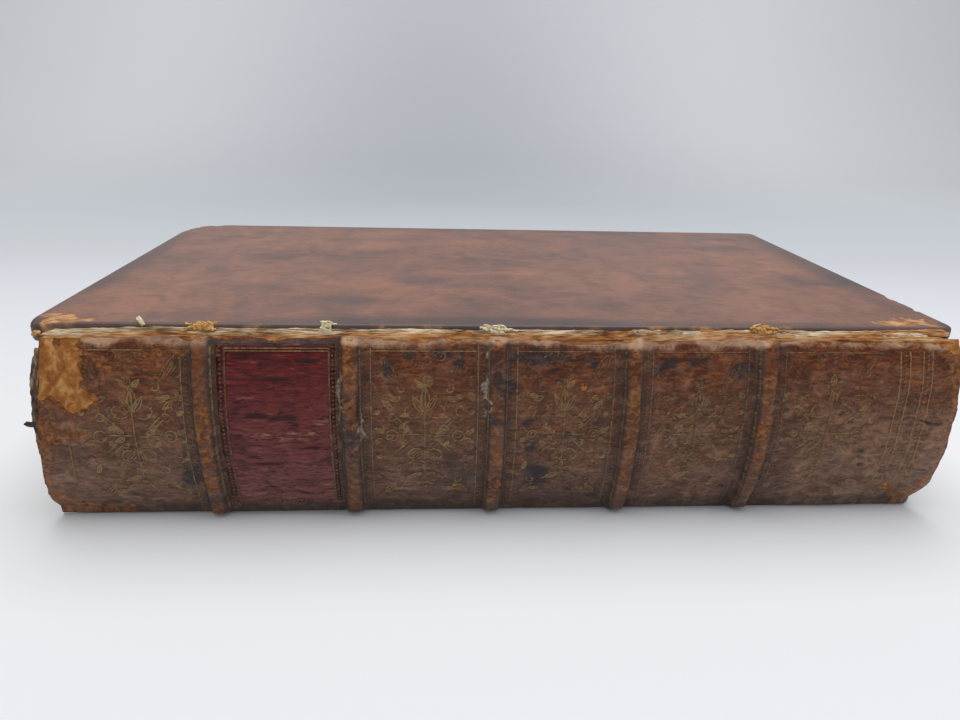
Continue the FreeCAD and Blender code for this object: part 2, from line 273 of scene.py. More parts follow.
class Shader:
    """The node tree of one new material. Its tools take and give sockets."""

    def __init__(self, name: str, place: Place) -> None:
        """Starts an empty material whose patterns lie at a place."""
        self.material = bpy.data.materials.new(name)
        self.material.use_nodes = True
        self.tree = self.material.node_tree
        self.tree.nodes.clear()
        if place is Place.LAID:
            self.place = self.add("Attribute", attribute_name=place.value).outputs["Vector"]
        else:
            self.place = self.add("TexCoord").outputs["Object"]

    def add(self, kind: str, inputs: dict | None = None, stops: Sequence = (), **settings) -> bpy.types.Node:
        """Adds a node.

        Args:
            kind: the node's type without its ShaderNode prefix.
            inputs: a value or another node's output for each named or numbered input.
            stops: a colour ramp's places and hex colours.
            settings: the node's own settings.

        Returns:
            The node.
        """
        node = self.tree.nodes.new("ShaderNode" + kind)
        for key, value in settings.items():
            setattr(node, key, value)
        for key, value in (inputs or {}).items():
            if isinstance(value, Socket):
                self.tree.links.new(value, node.inputs[key])
            else:
                node.inputs[key].default_value = value
        for number, (at, colour) in enumerate(stops):
            elements = node.color_ramp.elements
            element = elements[number] if number < 2 else elements.new(at)
            element.position, element.color = at, linear(colour)
        return node

    def axis(self, number: int) -> Socket:
        """One coordinate of the place, in metres."""
        return self.add("SeparateXYZ", {0: self.place}).outputs[number]

    def scaled(self, factors: Sequence[float]) -> Socket:
        """The place with each coordinate multiplied."""
        return self.add("VectorMath", {0: self.place, 1: factors}, operation="MULTIPLY").outputs[0]

    def maths(self, operation: str, *values: Socket | float) -> Socket:
        """One sum on numbers."""
        return self.add("Math", dict(enumerate(values)), operation=operation).outputs[0]

    def painted(self, name: str) -> Socket:
        """A field painted on the vertices."""
        return self.add("Attribute", attribute_name=name).outputs["Fac"]

    def pattern(
        self, size_mm: Sequence[float], detail: float, distortion: float = 0.0, rough: float = 0.5
    ) -> Socket:
        """Noise whose cells have a real size.

        Args:
            size_mm: a cell's size along each axis, or along two on a laid surface.
            detail: finer layers.
            distortion: how much the cells swirl.
            rough: how strong the finer layers are.

        Returns:
            The noise, from 0 to 1.
        """
        sizes = (*size_mm, LAID_DEPTH)[:3]
        inputs = {
            "Vector": self.scaled([1 / (size * METRES) for size in sizes]), "Scale": 1.0,
            "Detail": detail, "Roughness": rough, "Distortion": distortion,
        }
        return self.add("TexNoise", inputs).outputs[0]

    def spread(
        self, value: Socket, low: float, high: float, start: float = 0.0, end: float = 1.0,
        smooth: bool = False,
    ) -> Socket:
        """A value between low and high carried over to start and end, and held there outside."""
        inputs = {"Value": value, "From Min": low, "From Max": high, "To Min": start, "To Max": end}
        kind = "SMOOTHSTEP" if smooth else "LINEAR"
        return self.add("MapRange", inputs, interpolation_type=kind).outputs[0]

    def ramp(self, value: Socket, colours: Sequence[str], places: Sequence[float]) -> Socket:
        """A value turned into hex colours, each at its place; the places rise."""
        order = [0, len(places) - 1, *range(1, len(places) - 1)]
        stops = [(places[k], colours[k]) for k in order]
        return self.add("ValToRGB", {0: value}, stops).outputs[0]

    def shaded(self, colour: Socket, *noises: tuple[Socket, float, float]) -> Socket:
        """A colour made darker and lighter by noises.

        Args:
            colour: the colour.
            noises: each a noise, and the darkest and the lightest it makes the colour.

        Returns:
            The colour.
        """
        for noise, dark, light in noises:
            inputs = {0: 1.0, 6: colour, 7: self.spread(noise, 0.32, 0.68, dark, light)}
            colour = self.add("Mix", inputs, data_type="RGBA", blend_type="MULTIPLY").outputs[2]
        return colour

    def laid_over(self, factor: Socket, under: Socket, over: Socket | str, strength: float = 1.0) -> Socket:
        """One colour, or a hex colour, laid over another where a factor times a strength says so."""
        over = linear(over) if isinstance(over, str) else over
        share = self.maths("MULTIPLY", factor, strength)
        return self.add("Mix", {0: share, 6: under, 7: over}, data_type="RGBA").outputs[2]

    def worn_edge(self, name: str, noise: Socket, amount: float, soft: float, at: float = 0.5) -> Socket:
        """A painted field whose edge is frayed by a noise.

        Args:
            name: the field on the vertices.
            noise: what frays it.
            amount: how far the noise moves the edge.
            soft: width of the edge.
            at: the field's value on the edge.

        Returns:
            0 outside and 1 inside.
        """
        ragged = self.maths("MULTIPLY_ADD", noise, amount, self.painted(name))
        low = at + amount / 2 - soft / 2
        return self.spread(ragged, low, low + soft, smooth=True)

    def worn_over(
        self, colour: Socket, *wears: tuple[str, Socket, float, float, Socket | str, float]
    ) -> Socket:
        """A colour with others laid over it where painted fields say so.

        Args:
            colour: the colour.
            wears: each a field, the noise that frays its edge, how far, the edge's width, and
                the colour laid over with its strength.

        Returns:
            The colour.
        """
        for name, noise, amount, soft, over, strength in wears:
            colour = self.laid_over(self.worn_edge(name, noise, amount, soft), colour, over, strength)
        return colour

    def bumped(self, *layers: tuple[Socket, float, float]) -> Socket:
        """A normal with several heights on it.

        Args:
            layers: each a height, its depth in millimetres and its strength.

        Returns:
            The normal.
        """
        normal = None
        for height, depth, strength in layers:
            inputs = {"Height": height, "Distance": depth * METRES, "Strength": strength}
            if normal is not None:
                inputs["Normal"] = normal
            normal = self.add("Bump", inputs).outputs[0]
        return normal

    def finish(self, **sockets: object) -> bpy.types.Material:
        """Ends the tree in one Principled BSDF.

        Args:
            sockets: its inputs, with underscores for spaces.

        Returns:
            The material.
        """
        inputs = {key.replace("_", " "): value for key, value in sockets.items()}
        bsdf = self.add("BsdfPrincipled", inputs)
        self.add("OutputMaterial", {"Surface": bsdf.outputs[0]})
        return self.material


@dataclass(frozen=True)
class Finish:
    """What every finish has: a name and the place that its patterns follow."""

    name: str
    place: Place = Place.OBJECT


def lofted(
    name: str, ring: Grid, finish: Finish, fields: dict[str, Grid] | None = None, smooth: bool = True
) -> bpy.types.Object:
    """A piece made of a closed ring of vertices carried along rows.

    Args:
        name: the piece's name.
        ring: its vertices in millimetres, by row and by place in the ring.
        finish: its finish.
        fields: numbers or vectors for each vertex, in the same order.
        smooth: whether its faces are shaded as one surface.

    Returns:
        The object.
    """
    flat = {key: values.reshape(-1, *values.shape[2:]) for key, values in (fields or {}).items()}
    faces = loft_faces(*ring.shape[:2])
    return piece(name, ring.reshape(-1, 3), faces, finish.build(), flat, smooth)


@dataclass(frozen=True)
class BackCalf(Finish):
    """Calf of the back, pared thin, pasted down wet and polished with an iron.

    To the eye it is a thin brown skin, rust-red where hands and light have dried it near the
    joint, grey-brown lower down with painted shade along the foot, pale along the joint partly
    as a painted highlight, crazed along its length, and tan suede where torn.
    """

    name: str = "calf_of_the_back"
    place: Place = Place.LAID
    rust: str = "#5E280A"
    middle: str = "#66412D"
    foot: str = "#6A5044"
    ember: str = "#94501F"
    dirt_and_shade: str = "#463A36"
    stains_and_shade: str = "#24272D"
    chalk: str = "#A79C8C"
    rim: str = "#5A2C12"
    dust_and_highlight: str = "#C09A7A"
    rubbed: tuple[str, str, str] = ("#4C2C1C", "#74441F", "#A2632E")
    suede: tuple[str, str, str] = ("#763C16", "#A56A34", "#D6A46A")
    grain_mm: float = 0.62
    craze_mm: float = 0.8
    mottle_mm: float = 6.0
    vein_mm: tuple[float, float] = (3.4, 2.2)
    strand_mm: tuple[float, float] = (1.5, 1.2)
    gloss: tuple[float, float] = (0.5, 0.85)
    shine: float = 0.25

    def skin(self, shader: Shader) -> tuple[Socket, Socket, Socket, Socket]:
        """The leather's colour, and the heights that go with it.

        Args:
            shader: the material's tree.

        Returns:
            Colour, craze, grain and torn share.
        """
        mottle = shader.pattern((self.mottle_mm * 1.5, self.mottle_mm), 6, 0.7)
        craze = shader.pattern((self.craze_mm * 5, self.craze_mm), 6, 0.6)
        grain = shader.pattern((self.grain_mm * 1.3, self.grain_mm), 5, 0.6, 0.6)
        vein = shader.pattern(self.vein_mm, 8, 1.0, 0.66)
        strand = shader.pattern(self.strand_mm, 8, 0.9)
        cloud = shader.pattern((3.4, 3.4), 10, 0.3, 0.66)
        down = shader.axis(1)
        fall = shader.spread(shader.maths("MULTIPLY_ADD", mottle, 0.016, down), 0.009, 0.052)
        base = shader.ramp(fall, (self.rust, self.middle, self.foot), (0.0, 0.34, 1.0))
        tones = ((mottle, 0.74, 1.24), (vein, 0.72, 1.3), (grain, 0.7, 1.34), (craze, 0.84, 1.17))
        base = shader.shaded(base, *tones)
        glow = shader.maths("MULTIPLY", shader.spread(craze, 0.52, 0.66), shader.painted("warm"))
        base = shader.laid_over(glow, base, self.ember, 0.6)
        base = shader.laid_over(shader.spread(craze, 0.43, 0.33), base, self.dirt_and_shade, 0.36)
        base = shader.worn_over(
            base,
            # Dirt, with painted shade along the foot.
            ("dirt_and_shade", mottle, 0.8, 0.7, self.dirt_and_shade, 0.8),
            # Stains, with painted shade in the pits and along the split.
            ("stains_and_shade", mottle, 0.9, 0.7, self.stains_and_shade, 0.75),
            ("rub", strand, 1.3, 0.7, shader.ramp(strand, self.rubbed, (0.38, 0.5, 0.66)), 0.85),
            # Wear, with a painted highlight on the joint's shoulder.
            ("pale", vein, 1.6, 1.2, self.dust_and_highlight, 0.85),
        )
        base = shader.laid_over(shader.worn_edge("raw", grain, 0.7, 0.3, 0.2), base, self.rim, 0.7)
        torn = shader.worn_edge("raw", grain, 0.9, 0.35)
        base = shader.laid_over(torn, base, shader.ramp(cloud, self.suede, (0.32, 0.5, 0.7)))
        return shader.worn_over(base, ("chalk", grain, 1.2, 0.3, self.chalk, 0.75)), craze, grain, torn

    def build(self) -> bpy.types.Material:
        """The material."""
        shader = Shader(self.name, self.place)
        colour, craze, grain, torn = self.skin(shader)
        rough = shader.spread(torn, 0, 1, *self.gloss)
        normal = shader.bumped((craze, 0.3, 0.7), (grain, 0.28, 1.0))
        return shader.finish(
            Base_Color=colour, Roughness=rough, Normal=normal, IOR=1.45, Specular_IOR_Level=self.shine
        )


@dataclass(frozen=True)
class WornGilt(BackCalf):
    """Gold leaf struck into the calf with heated brass tools, then rubbed for two centuries.

    To the eye it is a broken dull gold line, with the leather's own colour in the breaks and a
    dark blind impression where the leaf has gone. Each line has painted shade on its side away
    from the light and a painted highlight of leaf on its side towards it.
    """

    name: str = "worn_gilt_tooling"
    gold: str = "#A08356"
    blind_and_painted_shade: str = "#2E1F19"
    rub_mm: float = 0.8

    def build(self) -> bpy.types.Material:
        """The material."""
        shader = Shader(self.name, self.place)
        colour, craze, grain, _ = self.skin(shader)
        rub = shader.pattern((self.rub_mm, self.rub_mm), 5, 0.7)
        # The struck colour is the blind impression with painted shade; the leaf is strongest on the lit side
        # as a painted highlight.
        colour = shader.worn_over(
            colour, ("struck", rub, 0.9, 0.8, self.blind_and_painted_shade, 0.65), ("gold", rub, 1.7, 0.8, self.gold, 0.72)
        )
        normal = shader.bumped((craze, 0.2, 0.6), (grain, 0.15, 0.6))
        return shader.finish(
            Base_Color=colour, Roughness=0.5, Normal=normal, IOR=1.45, Specular_IOR_Level=self.shine
        )


@dataclass(frozen=True)
class CoverCalf(Finish):
    """Calf of the covers, polished by handling.

    To the eye it is a smooth warm brown that greys where the room shines in it, with long
    streaks, dark mottling along the edges and the joint, partly painted shade at the joint, and
    tan suede on the worn corners.
    """

    name: str = "calf_of_the_covers"
    colours: tuple[str, str, str] = ("#5E4337", "#7C5341", "#926043")
    dirt_and_shade: str = "#3C3232"
    suede: tuple[str, str] = ("#8A5430", "#C29466")
    streak_mm: tuple[float, float] = (44.0, 20.0)
    pore_mm: float = 0.7

    def build(self) -> bpy.types.Material:
        """The material."""
        shader = Shader(self.name, self.place)
        streak = shader.pattern(self.streak_mm, 6, 0.5)
        cloud = shader.pattern((20, 24, 20), 8, 1.1, 0.6)
        pore = shader.pattern((self.pore_mm * 2, self.pore_mm, self.pore_mm), 4, 0.3)
        vein = shader.pattern((9, 10, 9), 11, 1.0, 0.7)
        scratch = shader.pattern((4.0, 0.7, 9), 5, 0.3, 0.6)
        nap = shader.pattern((2.4, 1.6, 1.6), 4, 0.6)
        tone = shader.add("Mix", {0: 0.6, 2: streak, 3: cloud}).outputs[0]
        colour = shader.ramp(tone, self.colours, (0.34, 0.5, 0.66))
        colour = shader.shaded(colour, (vein, 0.72, 1.26), (scratch, 0.86, 1.14), (pore, 0.88, 1.1))
        # Dirt along the edges, with painted shade along the joint.
        colour = shader.worn_over(colour, ("dirt_and_shade", vein, 1.1, 0.9, self.dirt_and_shade, 0.72))
        colour = shader.laid_over(shader.spread(pore, 0.56, 0.7), colour, self.dirt_and_shade, 0.3)
        torn = shader.worn_edge("raw", vein, 1.5, 0.5)
        colour = shader.laid_over(torn, colour, shader.ramp(nap, self.suede, (0.35, 0.62)))
        rough = shader.spread(torn, 0, 1, 0.4, 0.85)
        normal = shader.bumped((vein, 0.5, 0.35), (pore, 0.12, 0.6), (scratch, 0.1, 0.5))
        return shader.finish(Base_Color=colour, Roughness=rough, Normal=normal, IOR=1.5)


@dataclass(frozen=True)
class Morocco(Finish):
    """Goatskin of the title label, dyed red and pared to paper thinness.

    To the eye it is a deep wine red with a fine wrinkled grain, browner where it has rubbed.
    """

    name: str = "red_morocco_label"
    place: Place = Place.LAID
    colours: tuple[str, str, str] = ("#640A09", "#723330", "#7F4E4A")
    crease: str = "#22090A"
    speck: str = "#9C7A60"
    dry: str = "#A8846C"
    grain_mm: tuple[float, float] = (3.0, 0.6)

    def build(self) -> bpy.types.Material:
        """The material."""
        shader = Shader(self.name, self.place)
        grain = shader.pattern(self.grain_mm, 9, 0.9, 0.62)
        cloud = shader.pattern((9, 5), 3, 0.5)
        patch = shader.pattern((5.0, 2.4), 4, 0.8)
        down = shader.axis(1)
        fall = shader.spread(shader.maths("MULTIPLY_ADD", cloud, 0.014, down), 0.01, 0.05)
        colour = shader.ramp(fall, self.colours, (0.0, 0.45, 1.0))
        for noise, low, high, much in ((grain, 0.5, 0.36, 0.8), (patch, 0.5, 0.32, 0.55)):
            colour = shader.laid_over(shader.spread(noise, low, high), colour, self.crease, much)
        rubbed = shader.maths("MULTIPLY", shader.spread(grain, 0.6, 0.68), fall)
        colour = shader.laid_over(rubbed, colour, self.speck, 0.6)
        colour = shader.worn_over(
            colour,
            ("raw", grain, 0.8, 0.3, self.speck, 0.6),
            ("scuff", patch, 1.4, 0.5, self.crease, 0.8),
            ("fleck", grain, 2.4, 0.6, self.dry, 0.55),
        )
        normal = shader.bumped((grain, 0.35, 0.9))
        return shader.finish(
            Base_Color=colour, Roughness=0.45, Normal=normal, IOR=1.5, Specular_IOR_Level=0.25
        )


@dataclass(frozen=True)
class Fibre(Finish):
    """Torn or spun fibre: the flesh side of leather, a paper lining, hemp cord or thread.

    To the eye it is matt and streaked along its length, darker between the fibres, partly dirt and partly
    painted shade.
    """

    colours: tuple[str, str, str] = ("#B89C6C", "#E2CFA4", "#F2E6C8")
    streak_mm: tuple[float, float, float] = (4.0, 0.35, 0.35)
    depth_mm: float = 0.15

    def build(self) -> bpy.types.Material:
        """The material."""
        shader = Shader(self.name, self.place)
        streak = shader.pattern(self.streak_mm, 5, 0.4)
        patch = shader.pattern((9, 3, 3), 3, 0.3)
        tone = shader.add("Mix", {0: 0.4, 2: streak, 3: patch}).outputs[0]
        colour = shader.ramp(tone, self.colours, (0.36, 0.47, 0.62))
        normal = shader.bumped((streak, self.depth_mm, 0.8))
        return shader.finish(Base_Color=colour, Roughness=0.9, Normal=normal, IOR=1.45)


@dataclass(frozen=True)
class RagPaper(Finish):
    """Hand-made rag paper.

    To the eye it is warm cream, toned brown from the edges in, with small rust-coloured spots.
    Fine laid lines give it a faint tooth.
    """

    colours: tuple[str, str] = ("#D3BE94", "#E2D2AE")
    spot: str = "#8C5A2C"
    cloud_mm: tuple[float, float, float] = (30, 20, 2.5)
    leaf_mm: float = 0.0
    laid_mm: float = 0.375

    def build(self) -> bpy.types.Material:
        """The material."""
        shader = Shader(self.name, self.place)
        cloud = shader.pattern(self.cloud_mm, 5, 0.3)
        colour = shader.ramp(cloud, self.colours, (0.35, 0.65))
        foxing = shader.pattern((3.2, 3.2, 1.4), 3, 0.8)
        colour = shader.laid_over(shader.spread(foxing, 0.66, 0.76), colour, self.spot, 0.4)
        if self.leaf_mm:
            leaves = shader.pattern((60, 60, self.leaf_mm), 3, 0.1)
            colour = shader.laid_over(shader.spread(leaves, 0.5, 0.36), colour, self.spot, 0.6)
            normal = shader.bumped((leaves, 0.2, 0.7))
        else:
            # A wave texture turns once in 2 pi / 20 of a unit.
            pace = 2 * math.pi / 20 / (self.laid_mm * METRES)
            lines = shader.add("TexWave", {"Vector": shader.scaled((pace, 0, 0)), "Scale": 1.0}).outputs[1]
            normal = shader.bumped((lines, 0.02, 0.3), (foxing, 0.05, 0.4))
        return shader.finish(Base_Color=colour, Roughness=0.85, Normal=normal, IOR=1.45)


@dataclass(frozen=True)
class Sweep(Finish):
    """A sheet of pale paper under and behind the book, matt, with painted shade that greys it further back
    and in the middle.
    """

    name: str = "pale_studio_sweep"
    depth: float = 1.5
    places: tuple[float, ...] = (0.0, 0.104, 0.152, 0.25, 0.38, 0.58, 1.0)
    tones: tuple[str, ...] = (
        "#E4E5E7", "#D0D1D5", "#C6C9CC", "#C5C9CC", "#CED1D3", "#DADBDD", "#E8E8EA",
    )
    shade: str = "#A5A9AF"
    shade_width: float = 0.5

    def build(self) -> bpy.types.Material:
        """The material, with painted shade: greyer the further the paper goes back, most in the middle."""
        shader = Shader(self.name, self.place)
        share = shader.spread(shader.maths("ADD", shader.axis(1), shader.axis(2)), 0.0, self.depth)
        # Painted shade: the tones grow greyer away from the front and lighter again high on the backdrop.
        tone = shader.ramp(share, self.tones, self.places)
        aside = shader.maths("ABSOLUTE", shader.axis(0))
        middle = shader.spread(aside, 0.0, self.shade_width, 0.8, 0.0, smooth=True)
        shaded_share = shader.maths("MULTIPLY", middle, shader.spread(share, 0.1, 0.3))
        shaded_share = shader.maths("MULTIPLY", shaded_share, shader.spread(share, 0.5, 0.9, 1.0, 0.5))
        tone = shader.laid_over(shaded_share, tone, self.shade)
        cloud = shader.pattern((420, 420, 420), 1)
        colour = shader.laid_over(cloud, tone, "#FFFFFF", 0.06)
        return shader.finish(Base_Color=colour, Roughness=0.9, IOR=1.45)


# The back of the book


@dataclass
class Back:
    """The leather over the back: one skin from the torn upper joint to the lower joint."""

    axis_y: float = BACK_AXIS_Y
    axis_z: float = BACK_AXIS_Z
    radius: float = 56.0
    inner_radius: float = 55.2
    top_z: float = 46.0
    foot_z: float = 2.2
    head_x: float = -107.5
    tail_x: float = 106.5
    bands: tuple[float, ...] = (-69.8, -37.5, -4.5, 26.7, 58.2)
    band_height: float = 1.95
    band_half_width: float = 1.35
    band_foot: float = 2.7
    spacing: float = 0.38
    curl: Route = (
        (-59.05, 1.5), (-58.85, 0.95), (-58.55, 0.5), (-58.2, 0.2), (-57.95, 0.12),
    )
    curl_start_y: float = -59.17
    inner_foot: tuple[float, float] = (-58.15, 1.4)
    inner_foot_angle: float = -0.388
    head_line: Route = (
        (0, -103.9), (10, -104.2), (19, -105.9), (26, -107.0), (33, -108.1), (37, -108.5),
        (42, -108.7), (44.8, -107.8), (46.5, -106.0), (48, -104.6),
    )
    tail_line: Route = (
        (0, 105.4), (6, 106.2), (20, 106.2), (30, 106.1), (35, 106.1), (40, 106.3),
        (43.3, 104.6), (45, 103.4), (48, 102.0),
    )
    head_patch: Route = (
        (-109, -3), (-94.9, -3), (-95.6, 2.6), (-94.6, 4), (-95.8, 7), (-94.6, 9.6), (-95.6, 11.6),
        (-93.2, 12.6), (-91.8, 14.2), (-93.0, 16.2), (-96.5, 16.9), (-100.0, 16.2), (-103.6, 14.5),
        (-109, 15),
    )
    left_on_patch: Route = ((-104.4, -2), (-100.6, -2), (-100.8, 2.2), (-103.8, 2.8))
    torn_places: Patches = (
        ((94.4, 39.2), (96.6, 40.8), (98.2, 41.6), (97.4, 42.3), (95.6, 41.6), (93.9, 40.1)),
        ((-14.6, 37.2), (-13.7, 36.8), (-12.9, 38.0), (-13.6, 38.8)),
        ((14.0, 12.1), (14.8, 11.9), (16.4, 12.4), (15.4, 13.0)),
        ((41.1, 19.4), (41.9, 19.6), (41.9, 21.4), (41.2, 21.4)),
        ((99.4, -2), (100.4, 2.2), (102.4, 2.8), (104.0, 4.0), (110, 5.0), (110, -2)),
    )
    rust_places: Patches = (
        ((-110, 18.5), (-104.6, 18.6), (-103.0, 20.6), (-97.2, 22.2), (-94.8, 21.6), (-96.8, 23.3),
         (-102.0, 24.2), (-104.2, 27), (-105.6, 31), (-106.2, 37), (-103.4, 41.0), (-100, 43.4),
         (-90, 44.3), (-90, 49), (-112, 49)),
        ((-109, -3), (-93.9, -3), (-94.9, 3.2), (-93.8, 4.2), (-95.0, 7), (-93.8, 9.6), (-94.6, 11.2),
         (-92.2, 12.2), (-91.0, 14.2), (-92.2, 17.0), (-96.5, 17.9), (-100.0, 17.2), (-103.6, 16.0),
         (-109, 17)),
        ((112, -2), (100.8, -2), (101.6, 5), (104.2, 9), (104.8, 22), (105.4, 30),
         (104.4, 36), (101.6, 40.5), (98.6, 43.2), (98, 49), (112, 49)),
        ((-34, 0.9), (-28, 0.4), (-10, 0.8), (-8.8, 1.5), (-20, 1.9), (-33, 1.7)),
        ((64, 1.0), (90, 0.6), (100, 1.4), (99, 2.6), (84, 1.9), (66, 1.9)),
        ((56.4, 15.2), (63.9, 15.2), (63.9, 15.8), (56.4, 15.8)),
        ((-83.2, 1.8), (-79.4, 2.0), (-79.8, 5.0), (-81.0, 5.6), (-82.8, 4.2)),
        ((-80.0, 2.8), (-77.4, 3.2), (-77.6, 8.0), (-79.6, 7.4)),
        ((-75.9, 1.8), (-72.8, 2.0), (-73.4, 5.0), (-75.4, 4.8)),
        ((-93.6, 4.6), (-88.0, 4.8), (-88.8, 7.8), (-93.0, 8.0)),
        ((66.8, 15.2), (75.4, 15.4), (75.4, 15.9), (66.8, 15.7)),
        ((6.0, 21.6), (15.5, 21.9), (15.5, 22.5), (6.0, 22.2)),
    )
    scuffs: tuple[Spot, ...] = (
        Spot(-39.1, 14.0, 0.9, 8.0), Spot(-38.9, 10.0, 0.8, 3.0), Spot(-35.2, 20.5, 0.4, 4.5),
        Spot(-7.0, 14.0, 0.45, 7.5), Spot(-6.6, 3.5, 0.4, 2.0),
    )
    stains: tuple[Spot, ...] = (
        Spot(-2.4, 12.2, 1.5, 2.2), Spot(-37.6, 22.0, 1.6, 8.0), Spot(-4.5, 18.5, 1.6, 2.0),
        Spot(2.0, 20.5, 2.0, 1.8), Spot(4.6, 26.0, 1.4, 2.0), Spot(6.2, 34.5, 3.4, 2.8),
        Spot(13.2, 23.5, 2.0, 1.2), Spot(20.0, 19.0, 1.2, 1.0), Spot(20.0, 41.0, 2.2, 1.0),
        Spot(-29.6, 6.6, 1.2, 1.2), Spot(-74.5, 33.0, 2.0, 4.0), Spot(6.0, 4.6, 8.0, 1.8),
        Spot(-4.6, 8.0, 1.0, 5.0), Spot(-4.2, 36.0, 1.2, 3.0), Spot(34.0, 6.5, 3.0, 1.2),
        Spot(52.0, 8.0, 2.4, 1.4), Spot(-25.0, 5.0, 2.0, 1.0), Spot(-17.0, 4.8, 2.0, 1.0),
        Spot(-12.6, 5.2, 1.4, 1.4), Spot(11.0, 5.0, 2.4, 1.2), Spot(8.2, 8.6, 1.2, 1.2),
        Spot(16.6, 6.0, 1.6, 1.4), Spot(42.0, 5.2, 2.6, 1.0), Spot(-29.0, 7.4, 1.4, 3.0),
    )
    pits: Route = (
        (77.5, 18.1), (80.1, 20.1), (84.5, 28.1), (85.6, 32.3), (84.5, 40.6), (9.5, 10.2), (-2.8, 12.2),
        (52.0, 39.0), (13.7, 39.3),
    )
    split_line: Route = (
        (90.6, 20.2), (93.5, 19.5), (95.6, 19.2), (98.0, 20.0), (101.4, 20.9), (104.0, 20.8),
    )
    warp: Noise = Noise(11)
    craze: Noise = Noise(12)
    nap: Noise = Noise(13)
    shades: Noise = Noise(14)

    @property
    def top_angle(self) -> float:
        """Angle of the upper edge above the middle of the back, in radians."""
        return math.asin((self.top_z - self.axis_z) / self.radius)

    @property
    def length(self) -> float:
        """Length of the skin from its upper edge to where it turns under."""
        return self.radius * (self.top_angle + math.asin((self.axis_z - self.foot_z) / self.radius))

    def off_band(self, x: Grid) -> Grid:
        """Distance along the back to the nearest raised band."""
        return np.min([np.abs(x - band) for band in self.bands], axis=0)

    def split(self, x: Grid, v: Grid) -> Grid:
        """Where the skin has split through near the tail."""
        line = route_at(self.split_line, x) + 0.3 * self.nap(x, np.zeros_like(x), 2, 1)
        ends = ease(self.split_line[0][0], self.split_line[2][0], x)
        ends = ends * ease(self.split_line[-1][0], self.split_line[-2][0], x)
        return ease(0.5, 0.14, np.abs(v - line)) * ends

    def torn(self, x: Grid, v: Grid) -> Grid:
        """Where the grain surface has gone and the tan flesh of the skin shows.

        Args:
            x: places along the back.
            v: places down the back, from its upper edge.

        Returns:
            0 to 1.
        """
        a = x + 1.6 * self.warp(x, v, 2.6, 2.2) + 0.9 * self.nap(x, v, 0.8, 0.8)
        b = v + 1.8 * self.warp(x + 70, v, 2.6, 2.2) + 0.9 * self.nap(x + 70, v, 0.8, 0.8)
        left_on = polygon_field(self.left_on_patch, a, b, 1.0)
        patch = polygon_field(self.head_patch, a, b, 0.8) * (1 - 0.75 * left_on)
        worn = np.maximum(patch, patches_field(self.torn_places, a, b, 0.9))
        edge = ease(1.0, 0.2, v + 2.4 * self.nap(x, v, 3.6, 9.0) + 0.1)
        return np.maximum(worn, 0.8 * edge)

    def rubbed(self, x: Grid, v: Grid) -> Grid:
        """Where the skin is rubbed to dark orange flesh: crests of the bands, torn rims, cracks."""
        near = ease(1.9, 1.0, self.off_band(x) + 0.8 * self.nap(x, v, 0.9, 1.4))
        crest = near * (0.46 + 0.8 * self.shades(x * 0.3, v, 5, 4) - 0.12 * ease(34, 44, v))
        crest = crest * (1 - 0.6 * ease(6, 3, np.abs(x - self.bands[2])) * ease(28, 22, v))
        crest = crest + 0.14 * near * ease(6, 3, np.abs(x - self.bands[0]))
        a = x + 1.4 * self.warp(x, v, 2.6, 2.2) + 0.8 * self.nap(x, v, 0.8, 0.8)
        b = v + 1.2 * self.warp(x + 70, v, 3.2, 2.2) + 0.6 * self.nap(x + 70, v, 0.9, 0.8)
        return np.maximum(crest, 0.9 * patches_field(self.rust_places, a, b, 0.8))

    def on_label(self, x: Grid) -> Grid:
        """Where the label covers the skin."""
        return ease(-68.6, -67.6, x) * ease(-39.0, -40.0, x)

    def dirty(self, x: Grid, v: Grid) -> Grid:
        """Where the skin is darker: dirt and blind tools beside the bands and by the label, darker lower
        down, and painted shade along the foot where it turns under.
        """
        off = self.off_band(x)
        flank = ease(1.1, 1.6, off) * ease(3.3, 2.4, off)
        border = 0.46 * ease(6.4, 5.2, off) * ease(2.2, 3.4, off)
        low = 0.42 * ease(20, 40, v) + 0.7 * self.shades(x + 40, v, 14, 8)
        low = low - 0.65 * ease(-72, -86, x) - 0.65 * ease(60, 76, x)
        above_label = 0.85 * self.on_label(x) * ease(0.5, 1.0, v) * ease(3.0, 2.3, v)
        # Painted shade along the foot, where the back turns under towards the table.
        foot = 0.8 * ease(41.5, 44.5, v + 2 * self.nap(x, v, 5, 9))
        return np.maximum.reduce([flank * 0.98, border, low, above_label, foot])

    def faded_and_highlit(self, x: Grid, v: Grid) -> Grid:
        """Where it is pale: along the joint, from handling and as a painted highlight on its lit shoulder,
        and low on the end panels.
        """
        # The joint's pale band is partly a painted highlight on the rounded shoulder.
        joint = ease(2.9, 1.0, v + 2.2 * self.nap(x, v, 5.0, 9.0)) * (0.86 + 0.7 * self.shades(x, v, 7, 9))
        joint = joint * (1 - self.on_label(x)) * ease(-100, -94, x) * (1 - 0.25 * ease(62, 70, x))
        ends = 0.19 * ease(60, 78, x) * ease(10, 22, v) + 0.15 * ease(-70, -84, x) * ease(26, 36, v)
        fifth = 0.09 * ease(30, 36, x) * ease(54, 48, x) * ease(14, 20, v)
        return np.maximum(joint, ends + fifth)

    def warm(self, x: Grid, v: Grid) -> Grid:
        """Where light has turned its cracks rust-red: high in the panels, and in clouds."""
        panel = ease(2.6, 4.6, self.off_band(x))
        high = panel * ease(2.0, 3.4, v) * ease(19, 8, v + 12 * self.shades(x, v, 12, 5))
        return np.clip(np.maximum(high, 0.35 + 0.6 * self.shades(x, v, 16, 9)), 0, 1)

